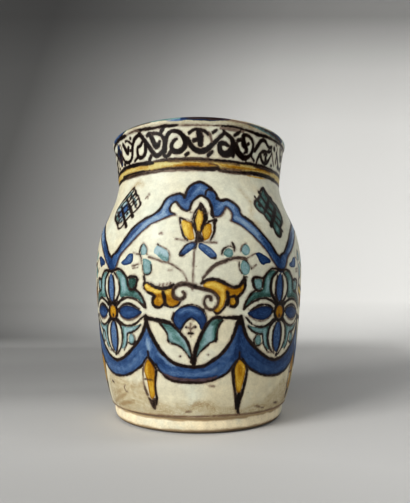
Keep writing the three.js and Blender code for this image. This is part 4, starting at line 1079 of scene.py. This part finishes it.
def new_material(name):
    """The node tree of a new material, and its surface."""
    material = bpy.data.materials.new(name)
    material.use_nodes = True
    return material.node_tree, material.node_tree.nodes["Principled BSDF"]


def ground_node(tree, colours, cream, warm, stain_height, stain_strength):
    return group_node(tree, bpy.data.node_groups["glaze_ground"], {
        "Cream": cream, "Warm": warm, "Cool": colours.cream_cool,
        "Stain": colours.stain_and_shade, "Stain Height": stain_height, "Stain Strength": stain_strength,
    })


def glazed_surface(tree, surface, colour, roughness, relief):
    """Joins the glaze's colour, roughness and relief to the surface."""
    bump = add_node(tree, "ShaderNodeBump", {"Height": relief, "Distance": 0.0006})
    tree.links.new(colour, surface.inputs["Base Color"])
    tree.links.new(roughness, surface.inputs["Roughness"])
    tree.links.new(bump.outputs[0], surface.inputs["Normal"])
    surface.inputs["IOR"].default_value = 1.45
    surface.inputs["Specular IOR Level"].default_value = 0.2


def painted_material(name, colours, yellow, boldness, least):
    """Tin glaze with the pigments that the painter used over it, and the dirt on it."""
    tree, surface = new_material(name)
    ground = ground_node(tree, colours, colours.cream, colours.cream_warm, 0.045, 0.35)
    colour, relief, roughness = ground["Color"], ground["Height"], ground["Roughness"]
    labels = ("Thin", "Middle", "Thick", "Ragged", "Grain", "Softness", "Streaks", "Rim", "Cover")
    shades = {
        name: [getattr(colours, name + depth) for depth in ("_pale", "", "_deep")]
        for name in ("copper", "cobalt", "manganese")
    }
    settings = {
        "dirt": (colours.cream_warm, colours.dirt, colours.stain_and_shade, 6.0, 230.0, 3.0, 0.9, 0.0, 0.1),
        "ochre": (yellow, colours.ochre, colours.ochre_deep, 1.0, 620.0, 0.3, boldness, 0.3, least),
        "copper": (*shades["copper"], 1.1, 620.0, 0.3, 0.45, 0.2, 0.7),
        "cobalt": (*shades["cobalt"], 0.9, 620.0, 0.3, 0.55, 0.4, 0.75),
        "manganese": (*shades["manganese"], 1.6, 700.0, 0.3, 0.62, -0.3, 0.6),
    }
    for pigment in PIGMENTS:
        edge = add_node(tree, "ShaderNodeAttribute", attribute_name=pigment + "_edge").outputs["Fac"]
        tone = add_node(tree, "ShaderNodeAttribute", attribute_name=pigment + "_tone").outputs["Fac"]
        if pigment == "manganese":
            colour = group_node(tree, bpy.data.node_groups["bled_pigment"], {
                "Under": colour, "Edge": edge, "Stain": colours.bleed, "Strength": 0.62,
            })["Color"]
        layer = group_node(tree, bpy.data.node_groups["brushed_pigment"], {
            "Under": colour, "Edge": edge, "Tone": tone, **dict(zip(labels, settings[pigment])),
        })
        colour = layer["Color"]
        if pigment != "dirt":
            relief = calc(tree, "ADD", relief, calc(tree, "MULTIPLY", layer["Mask"], 0.12))
    glazed_surface(tree, surface, colour, roughness, relief)


def plain_glaze_material(colours):
    """The same glaze, left plain."""
    tree, surface = new_material("plain_tin_glaze")
    ground = ground_node(tree, colours, colours.foot_cream_and_light, colours.foot_cream_and_light, 0.0055, 1.0)
    glazed_surface(tree, surface, ground["Color"], ground["Roughness"], ground["Height"])


def clay_material(colours):
    """Bare earthenware with turning marks, grog and dirt, darker towards the bottom."""
    tree, surface = new_material("bare_earthenware")
    place = object_place(tree)
    grime = ranged(tree, noise(tree, place, 42, 6, 0.65), 0.4, 0.7)
    colour = mixed(tree, grime, colours.clay, colours.clay_dark)
    grog = add_node(tree, "ShaderNodeTexVoronoi", {"Vector": place, "Scale": 700.0}).outputs["Distance"]
    colour = mixed(tree, ranged(tree, grog, 0.16, 0.05, 0.0, 0.5), colour, colours.clay_dark)
    height = add_node(tree, "ShaderNodeSeparateXYZ", {0: place}).outputs["Z"]
    colour = mixed(tree, ranged(tree, height, 0.004, 0.0005, 0.0, 0.85), colour, (0.05, 0.04, 0.025, 1))
    turned = add_node(
        tree, "ShaderNodeTexWave", {"Vector": place, "Scale": 190.0, "Distortion": 2.5, "Detail": 2.0},
        wave_type="RINGS", rings_direction="Z",
    ).outputs["Fac"]
    relief = calc(tree, "ADD", calc(tree, "MULTIPLY", turned, 0.5), noise(tree, place, 900, 4, 0.7))
    bump = add_node(tree, "ShaderNodeBump", {"Height": relief, "Distance": 0.0003})
    tree.links.new(colour, surface.inputs["Base Color"])
    tree.links.new(ranged(tree, grime, 0, 1, 0.92, 0.78), surface.inputs["Roughness"])
    tree.links.new(bump.outputs[0], surface.inputs["Normal"])


def run_along(path):
    """How far along the path each of its points lies."""
    return np.concatenate([[0], np.cumsum(np.hypot(*np.diff(path, axis=0).T))])


def evenly(path, step):
    """Points along the path, about a step apart."""
    path = np.array(path, float)
    gone = run_along(path)
    stops = np.linspace(0, gone[-1], max(2, round(gone[-1] / step) + 1))
    return np.column_stack([np.interp(stops, gone, path[:, i]) for i in range(2)])


def curve(start, towards, back, end, points=200):
    """A cubic curve from start to end, with the places that it heads to and comes from."""
    corners = [Vector((x, y, 0)) for x, y in (start, towards, back, end)]
    return [(p.x, p.y) for p in interpolate_bezier(*corners, points)]


def inset(outline, depth):
    """The outline moved to its left by the depth, which may differ from point to point."""
    way = np.gradient(np.asarray(outline, float), axis=0)
    way /= np.hypot(way[:, 0], way[:, 1])[:, None]
    depth = np.broadcast_to(depth, len(outline))[:, None]
    return outline + depth * np.column_stack([-way[:, 1], way[:, 0]])


def belly_curve(sizes):
    """From the top of the arris over the foot, past the girth, up to the throat."""
    base = (sizes.foot_radius + sizes.overhang, sizes.foot_height + sizes.arris)
    girth = (sizes.girth_radius, sizes.girth_height)
    throat = (sizes.throat_radius, sizes.throat_height)
    rising = (base[0] + 0.0114, base[1] + 0.0265)
    narrowing = (throat[0] + 0.0044, throat[1] - 0.03)
    lower = curve(base, rising, (girth[0], girth[1] - 0.005), girth)
    upper = curve(girth, (girth[0], girth[1] + 0.043), narrowing, throat)
    return lower + upper[1:]


def arris_curve(sizes):
    """The rounded lower edge of the belly's coat, from under the overhang."""
    edge = sizes.foot_radius + sizes.overhang
    low, high = sizes.foot_height, sizes.foot_height + sizes.arris
    start, end = (edge - sizes.arris, low), (edge, high)
    reach = sizes.arris * 2 / 3
    rounding = curve(start, (start[0] + reach, low), (edge, high - reach), end, 8)
    return [(start[0] - sizes.glaze, low)] + rounding


def neck_curve(sizes, low, high, depth=0.0):
    """The flaring neck between two heights, a depth inside its outside."""
    heights = np.linspace(low, high, 60)
    share = np.clip((heights - sizes.throat_height) / (sizes.lip_height - sizes.throat_height), 0, None)
    return np.column_stack([sizes.throat_radius + sizes.neck_flare * share**1.35 - depth, heights])


def lip_middle(sizes):
    """The middle of the rounded lip's section."""
    radius = sizes.throat_radius + sizes.neck_flare + sizes.lip_flare - sizes.lip_roll
    return np.array([radius, sizes.top_height - sizes.lip_roll])


def lip_curve(sizes):
    """From the neck out and over the lip, to its inner side."""
    angles = np.radians(np.linspace(-20, 180, 60))
    roll = lip_middle(sizes) + sizes.lip_roll * np.column_stack([np.cos(angles), np.sin(angles)])
    start = (sizes.throat_radius + sizes.neck_flare, sizes.lip_height)
    return np.vstack([[start], roll])


def lining_curve(sizes):
    """From the lip down the inside to the rim of the flat floor, clear of the clay's facets."""
    spare = 0.0008
    top = [lip_middle(sizes) - (sizes.lip_roll, 0)]
    neck = neck_curve(sizes, sizes.throat_height + 0.007, sizes.lip_height, sizes.neck_wall)[::-1]
    outside = evenly(belly_curve(sizes), 0.002)
    share = (outside[:, 1] - sizes.foot_height) / (sizes.throat_height - sizes.foot_height)
    wall = inset(outside, spare + sizes.base_wall + (sizes.throat_wall - sizes.base_wall) * share)
    heights = wall[:, 1]
    wall = wall[(heights > sizes.floor_height + 0.015) & (heights < sizes.throat_height - 0.001)][::-1]
    lowest, floor = wall[-1], sizes.floor_height + spare / 2
    handles = (lowest[0] - 0.0028, floor + 0.004), (lowest[0] - 0.012, floor)
    corner = curve(lowest, *handles, (lowest[0] - 0.0225, floor), 20)
    return np.vstack([top, neck, wall, corner[1:]])


def spun(outside, inside, turns, closed=True):
    """A coat or ring: its outline, up the outside and back down the inside, spun round the axis."""
    mesh = bmesh.new()
    outer = mesh.verts.layers.float.new("outer")
    along = mesh.verts.layers.float.new("along")
    rows = []
    for side, is_outer in ((outside, 1.0), (inside, 0.0)):
        gone = run_along(side)
        for (radius, height), share in zip(side, gone / gone[-1]):
            vert = mesh.verts.new((radius * math.sin(SEAM), -radius * math.cos(SEAM), height))
            vert[outer] = is_outer
            vert[along] = share
            rows.append(vert)
    turning = len(outside) - 1
    for i, (first, second) in enumerate(zip(rows, rows[1:])):
        if closed or i != turning:
            mesh.edges.new((first, second))
    mesh.edges.new((rows[-1], rows[0]))
    bmesh.ops.spin(
        mesh, geom=mesh.verts[:] + mesh.edges[:], cent=(0, 0, 0), axis=(0, 0, 1), dvec=(0, 0, 0),
        angle=FULL_TURN, steps=turns, use_merge=True, use_normal_flip=False, use_duplicate=False,
    )
    if not closed:
        poles = [v for v in mesh.verts if math.hypot(v.co.x, v.co.y) < AT_AXIS]
        bmesh.ops.remove_doubles(mesh, verts=poles, dist=1e-6)
    bmesh.ops.recalc_face_normals(mesh, faces=mesh.faces[:])
    return mesh


def refine_near_paint(mesh, marks, reach):
    """Cuts the faces near the edges of the painting into four."""
    outer = mesh.verts.layers.float["outer"]
    mesh.verts.ensure_lookup_table()
    places = np.array([v.co for v in mesh.verts])
    layers = paint(chart_spots(places), marks)
    gap = np.min([np.abs(layers[name][0]) for name in PIGMENTS if name != "dirt"], axis=0)
    near = (gap < reach) & np.array([v[outer] > 0.5 for v in mesh.verts])
    mesh.verts.index_update()
    edges = [e for e in mesh.edges if near[e.verts[0].index] and near[e.verts[1].index]]
    bmesh.ops.subdivide_edges(mesh, edges=edges, cuts=1, use_grid_fill=True)


def finish_piece(mesh, name, material, rows, marks=None):
    """The mesh as a named object with its bake map, its painting and its material."""
    for edge in mesh.edges:
        edge.smooth = len(edge.link_faces) == 2 and edge.calc_face_angle(0.0) < SMOOTH_BELOW
    for face in mesh.faces:
        face.smooth = True
    lay_out_bake_map(mesh, rows)
    data = bpy.data.meshes.new(name)
    mesh.to_mesh(data)
    mesh.free()
    if marks is not None:
        places = np.zeros(len(data.vertices) * 3, np.float32)
        data.vertices.foreach_get("co", places)
        for pigment, (edge, tone) in paint(chart_spots(places.reshape(-1, 3)), marks).items():
            for suffix, values in (("_edge", edge), ("_tone", tone)):
                attribute = data.attributes.new(pigment + suffix, "FLOAT", "POINT")
                attribute.data.foreach_set("value", values.astype(np.float32))
    for helper in ("outer", "along"):
        if helper in data.attributes:
            data.attributes.remove(data.attributes[helper])
    data.materials.append(material)
    piece = bpy.data.objects.new(name, data)
    bpy.context.scene.collection.objects.link(piece)
    return piece


def lay_out_bake_map(mesh, rows):
    """A map in strips, one above another, each a share of the way round. The inside is laid under it."""
    outer, along = mesh.verts.layers.float["outer"], mesh.verts.layers.float["along"]
    uv = mesh.loops.layers.uv.new("OFBake")
    for face in mesh.faces:
        middle = face.calc_center_median()
        turn = (math.atan2(middle.x, -middle.y) - SEAM) % FULL_TURN
        strip = min(int(turn / FULL_TURN * rows), rows - 1)
        begins = SEAM + strip * FULL_TURN / rows
        outside = all(corner.vert[outer] > 0.999 for corner in face.loops)
        bottom, tall = (0.07, 0.91) if outside else (0.01, 0.04)
        for corner in face.loops:
            x, y = corner.vert.co.x, corner.vert.co.y
            angle = math.atan2(x, -y) if math.hypot(x, y) > AT_AXIS else turn + SEAM
            share = ((angle - begins + math.pi) % FULL_TURN - math.pi) * rows / FULL_TURN
            up = bottom + tall * corner.vert[along]
            corner[uv].uv = (0.004 + 0.992 * min(max(share, 0), 1), (strip + up) / rows)


def put_in_place(piece, slot, *nodes):
    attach(piece, "root")
    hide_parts(*nodes)


class JAR_OT_materials(bpy.types.Operator):
    """Makes the glaze, pigment and clay materials"""

    bl_idname = "jar.materials"
    bl_label = "Glazes and Clay"

    def execute(self, context):
        colours = context.scene.jar_colours
        glaze_ground_group()
        brushed_pigment_group()
        bled_pigment_group()
        painted_material("painted_tin_glaze", colours, colours.ochre_pale, 0.5, 0.85)
        painted_material("ochre_band_glaze", colours, colours.lemon, 0.6, 0.55)
        plain_glaze_material(colours)
        clay_material(colours)
        return {"FINISHED"}


class JAR_OT_clay_sections(bpy.types.Operator):
    """Gives the thrown clay body and the neck collar their bare clay"""

    bl_idname = "jar.clay_sections"
    bl_label = "Clay Body and Neck"

    def execute(self, context):
        for node in ("thrown_body", "neck_collar"):
            clay_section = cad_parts[node].data
            clay_section.materials.clear()
            clay_section.materials.append(bpy.data.materials["bare_earthenware"])
        return {"FINISHED"}


class JAR_OT_foot(bpy.types.Operator):
    """Turns the foot ring and the coat on its side"""

    bl_idname = "jar.foot"
    bl_label = "Foot Ring and Its Coat"

    def execute(self, context):
        sizes = context.scene.jar_sizes
        side = self.side(sizes)
        bare_below = 0.002
        glazed_from = int(np.argmax(side[:, 1] > bare_below))
        clay = side.copy()
        clay[glazed_from:] = inset(side, sizes.glaze)[glazed_from:]
        clay[-1] = (clay[-1][0], sizes.foot_height)
        ring = spun(clay, self.bore(sizes), PLAIN_TURNS)
        ring = finish_piece(ring, "foot_ring_turned", bpy.data.materials["bare_earthenware"], 8)
        put_in_place(ring, "bare_clay", "foot_ring")
        coat = spun(side[glazed_from:], clay[glazed_from:][::-1], PLAIN_TURNS)
        coat = finish_piece(coat, "foot_coat", bpy.data.materials["plain_tin_glaze"], 8)
        put_in_place(coat, "cream_glaze", "foot_glaze")
        return {"FINISHED"}

    def side(self, sizes):
        """From the tread round the bulging side up to the body."""
        step, shoulder = 0.0007, 0.0015
        bulge, top = sizes.foot_radius + 0.0007, sizes.foot_height
        low, high = (sizes.tread_radius, 0), (sizes.foot_radius, top - shoulder)
        first = (low[0] + (bulge - low[0]) * 2 / 3, 0)
        second = (high[0] + (bulge - high[0]) * 2 / 3, high[1] / 3)
        return np.vstack([evenly(curve(low, first, second, high), step), [(sizes.foot_radius, top)]])

    def bore(self, sizes):
        """Down the bore and round its lower edge."""
        arris = 0.0016
        rounding = ((0, 1), (0.08, 0.62), (1 / 3, 1 / 3), (0.62, 0.08), (1, 0))
        edge = [(sizes.bore_radius + arris * out, arris * up) for out, up in rounding]
        return np.array([(sizes.bore_radius, sizes.foot_height), *edge])


class JAR_OT_painted_coats(bpy.types.Operator):
    """Lays the painted coats on belly, throat, neck and lip"""

    bl_idname = "jar.painted_coats"
    bl_label = "Painted Coats"

    def execute(self, context):
        sizes = context.scene.jar_sizes
        marks = painting()
        step, turns = sizes.mesh_step, sizes.mesh_turns
        belly = np.vstack([arris_curve(sizes)[:-1], evenly(belly_curve(sizes), step)])
        throat = evenly(neck_curve(sizes, sizes.throat_height, sizes.neck_height), step * 0.75)
        neck = evenly(neck_curve(sizes, sizes.neck_height, sizes.lip_height), step * 0.75)
        lip = evenly(lip_curve(sizes), step * 0.5)
        coats = (
            ("belly_coat", belly, "belly_glaze", "painted_glaze", "painted_tin_glaze", 2, 1.25),
            ("throat_coat", throat, "throat_glaze", "ochre_glaze", "ochre_band_glaze", 8, 1.5),
            ("neck_coat", neck, "neck_glaze", "painted_glaze", "painted_tin_glaze", 4, 1.5),
            ("lip_coat", lip, "lip_glaze", "blue_wash_glaze", "painted_tin_glaze", 4, 0.0),
        )
        for name, outline, node, slot, glaze, rows, reach in coats:
            under = inset(outline, sizes.glaze)
            stops = np.unique(np.linspace(0, len(under) - 1, max(2, len(under) // 8)).astype(int))
            mesh = spun(outline, under[stops][::-1], turns)
            if reach:
                refine_near_paint(mesh, marks, reach * step / MESH_STEP)
            put_in_place(finish_piece(mesh, name, bpy.data.materials[glaze], rows, marks), slot, node)
        return {"FINISHED"}


class JAR_OT_lining(bpy.types.Operator):
    """Lays the plain coat on the inside, from the lip over the floor"""

    bl_idname = "jar.lining"
    bl_label = "Lining Coat"

    def execute(self, context):
        sizes = context.scene.jar_sizes
        lining = evenly(lining_curve(sizes), 0.003)
        lining = np.vstack([lining, [(0.0, lining[-1][1])]])
        under = inset(lining, sizes.glaze * 1.5)
        under[-1] = (0.0, under[-2][1])
        mesh = spun(lining, under[::-1], PLAIN_TURNS, closed=False)
        piece = finish_piece(mesh, "lining_coat", bpy.data.materials["plain_tin_glaze"], 2)
        put_in_place(piece, "cream_glaze", "lining_glaze")
        return {"FINISHED"}


class JAR_OT_stage(bpy.types.Operator):
    """Sets the jar on a pale floor before a plain wall, with soft studio light and a camera"""

    bl_idname = "jar.stage"
    bl_label = "Floor, Light and Camera"

    def execute(self, context):
        self.backdrop(context)
        self.lights(context)
        self.surroundings(context)
        self.camera(context)
        return {"FINISHED"}

    def surroundings(self, context):
        """A dim bluish room, and the tones of the photograph."""
        world = bpy.data.worlds.new("studio")
        world.use_nodes = True
        background = world.node_tree.nodes["Background"]
        background.inputs["Color"].default_value = (0.8, 0.84, 0.9, 1)
        background.inputs["Strength"].default_value = 0.07
        context.scene.world = world
        view = context.scene.view_settings
        view.view_transform = "Standard"
        view.gamma = 0.92
        view.use_curve_mapping = True
        view.curve_mapping.black_level = (0.004, 0.004, 0.004)
        view.curve_mapping.update()

    def camera(self, context):
        """A camera close to the jar, a little below its middle and tilted slightly upward."""
        camera = bpy.data.objects.new("camera", bpy.data.cameras.new("camera"))
        camera.location = (0.00524, -0.403, 0.0959)
        camera.rotation_euler = (math.radians(95.78), 0, 0)
        camera.data.lens = 32.8
        camera.data.sensor_width = 36
        camera.data.clip_start = 0.01
        context.scene.collection.objects.link(camera)
        context.scene.camera = camera

    def backdrop(self, context):
        """A floor that curves up into a wall behind the jar."""
        half_width, front, back, wall_top, cove_size = 4, -4, 0.56, 3.5, 0.08
        mesh = bmesh.new()
        section = ((front, 0), (back, 0), (back, wall_top))
        corners = [mesh.verts.new((-half_width, *place)) for place in section]
        edges = [mesh.edges.new(pair) for pair in zip(corners, corners[1:])]
        swept = bmesh.ops.extrude_edge_only(mesh, edges=edges)["geom"]
        far_side = [part for part in swept if isinstance(part, bmesh.types.BMVert)]
        bmesh.ops.translate(mesh, vec=(2 * half_width, 0, 0), verts=far_side)
        cove = [
            edge for edge in mesh.edges
            if all(abs(vert.co.y - back) < cove_size and vert.co.z < cove_size for vert in edge.verts)
        ]
        bmesh.ops.bevel(
            mesh, geom=cove, offset=cove_size, offset_type="OFFSET", segments=24, profile=0.5,
            affect="EDGES", material=-1,
        )
        bmesh.ops.recalc_face_normals(mesh, faces=mesh.faces[:])
        largest = max(mesh.faces, key=lambda face: face.calc_area())
        if largest.normal.z < -0.5 or largest.normal.y > 0.5:
            bmesh.ops.reverse_faces(mesh, faces=mesh.faces[:])
        for face in mesh.faces:
            face.smooth = True
        data = bpy.data.meshes.new("backdrop")
        mesh.to_mesh(data)
        mesh.free()
        self.backdrop_material(context.scene.jar_colours)
        data.materials.append(bpy.data.materials["backdrop"])
        backdrop = bpy.data.objects.new("backdrop", data)
        context.scene.collection.objects.link(backdrop)

    def backdrop_material(self, colours):
        """Floor and wall with painted light and shade: slow changes of grey that stand in for the lamps'
        falloff over the wall and floor. From behind it can't be seen.
        """
        tree, surface = new_material("backdrop")
        coordinates = add_node(tree, "ShaderNodeTexCoord").outputs["Object"]
        place = add_node(tree, "ShaderNodeSeparateXYZ", {0: coordinates})
        left, right = -0.45, 0.46
        # Painted light and shade on the wall: darker to the left, at the top and in the cove
        lean = calc(tree, "MULTIPLY", calc(tree, "SUBTRACT", 0.3, place.outputs["Z"]), 0.28)
        across = ramp(
            tree, calc(tree, "ADD", place.outputs["X"], lean), left, right,
            (0.075, 0.19, 0.32, 0.51, 0.68, 0.75, 0.77, 0.81), colours.wall,
        )
        painted_light_upward = ramp(
            tree, place.outputs["Z"], -0.036, 0.72, (0.42, 1.03, 0.97, 0.89, 0.79, 0.58, 0.24)
        )
        # Painted light and shade on the floor: lighter towards the camera and to the right, the falloff
        # slanted round the jar's cast shadow
        slant = calc(tree, "SUBTRACT", 1.0, calc(tree, "MULTIPLY", place.outputs["X"], 2.2))
        depth = calc(tree, "MULTIPLY", place.outputs["Y"], slant)
        painted_light_inward = ramp(
            tree, depth, -0.2, 0.5, (0.52, 0.6, 0.52, 0.37, 0.31, 0.29, 0.29, 0.31), colours.floor
        )
        painted_light_sideways = ramp(tree, place.outputs["X"], left, right, (0.97, 1.0, 1.2))
        wall = mixed(tree, 1.0, across, painted_light_upward, "MULTIPLY")
        ground = mixed(tree, 1.0, painted_light_inward, painted_light_sideways, "MULTIPLY")
        share = ranged(tree, place.outputs["Z"], -0.004, 0.02)
        tree.links.new(mixed(tree, share, ground, wall), surface.inputs["Base Color"])
        surface.inputs["Roughness"].default_value = 0.75
        see_through = add_node(tree, "ShaderNodeBsdfTransparent").outputs[0]
        behind = add_node(tree, "ShaderNodeNewGeometry").outputs["Backfacing"]
        ends = add_node(tree, "ShaderNodeMixShader", {0: behind, 1: surface.outputs[0], 2: see_through})
        tree.links.new(ends.outputs[0], tree.nodes["Material Output"].inputs["Surface"])

    def lights(self, context):
        """Soft lamps: name, place, target, width, height, power and colour."""
        lamps = (
            ("window", (-1.9, -1.6, 1.25), (0, 0, 0.12), 1.1, 0.9, 77.0, (1, 0.985, 0.95)),
            ("sky", (-0.55, -0.7, 1.75), (0, 0.05, 0.1), 1.6, 1.4, 9.0, (0.95, 0.97, 1)),
            ("front", (0.6, -2.0, 0.5), (0, 0, 0.1), 1.4, 0.7, 9.5, (1, 0.98, 0.95)),
            ("wall_wash", (0.85, 0.0, 1.1), (0.5, 0.56, 0.15), 0.5, 0.3, 3.5, (1, 0.99, 0.97)),
        )
        for name, place, target, width, height, power, colour in lamps:
            lamp = bpy.data.lights.new(name, "AREA")
            lamp.shape = "RECTANGLE"
            lamp.size, lamp.size_y = width, height
            lamp.energy, lamp.color = power, colour
            holder = bpy.data.objects.new(name, lamp)
            holder.location = place
            holder.rotation_euler = (Vector(target) - Vector(place)).to_track_quat("-Z", "Y").to_euler()
            context.scene.collection.objects.link(holder)


OPERATORS = (
    JAR_OT_materials,
    JAR_OT_clay_sections,
    JAR_OT_foot,
    JAR_OT_painted_coats,
    JAR_OT_lining,
    JAR_OT_stage,
)


class JAR_PT_panel(bpy.types.Panel):
    """The jar's steps, sizes and colours"""

    bl_idname = "JAR_PT_panel"
    bl_label = "Painted Jar"
    bl_space_type = "VIEW_3D"
    bl_region_type = "UI"
    bl_category = "Jar"

    def draw(self, context):
        layout = self.layout
        for operator in OPERATORS:
            layout.operator(operator.bl_idname)
        for group in (context.scene.jar_sizes, context.scene.jar_colours):
            column = layout.column(align=True)
            for name in group.__annotations__:
                column.prop(group, name)


CLASSES = (JarSizes, JarColours, *OPERATORS, JAR_PT_panel)


def register():
    for cls in CLASSES:
        bpy.utils.register_class(cls)
    bpy.types.Scene.jar_sizes = PointerProperty(type=JarSizes)
    bpy.types.Scene.jar_colours = PointerProperty(type=JarColours)


def unregister():
    del bpy.types.Scene.jar_colours
    del bpy.types.Scene.jar_sizes
    for cls in reversed(CLASSES):
        bpy.utils.unregister_class(cls)


def main():
    register()
    bpy.ops.jar.materials()
    bpy.ops.jar.clay_sections()
    bpy.ops.jar.foot()
    bpy.ops.jar.painted_coats()
    bpy.ops.jar.lining()
    bpy.ops.jar.stage()


if __name__ == "__main__":
    main()
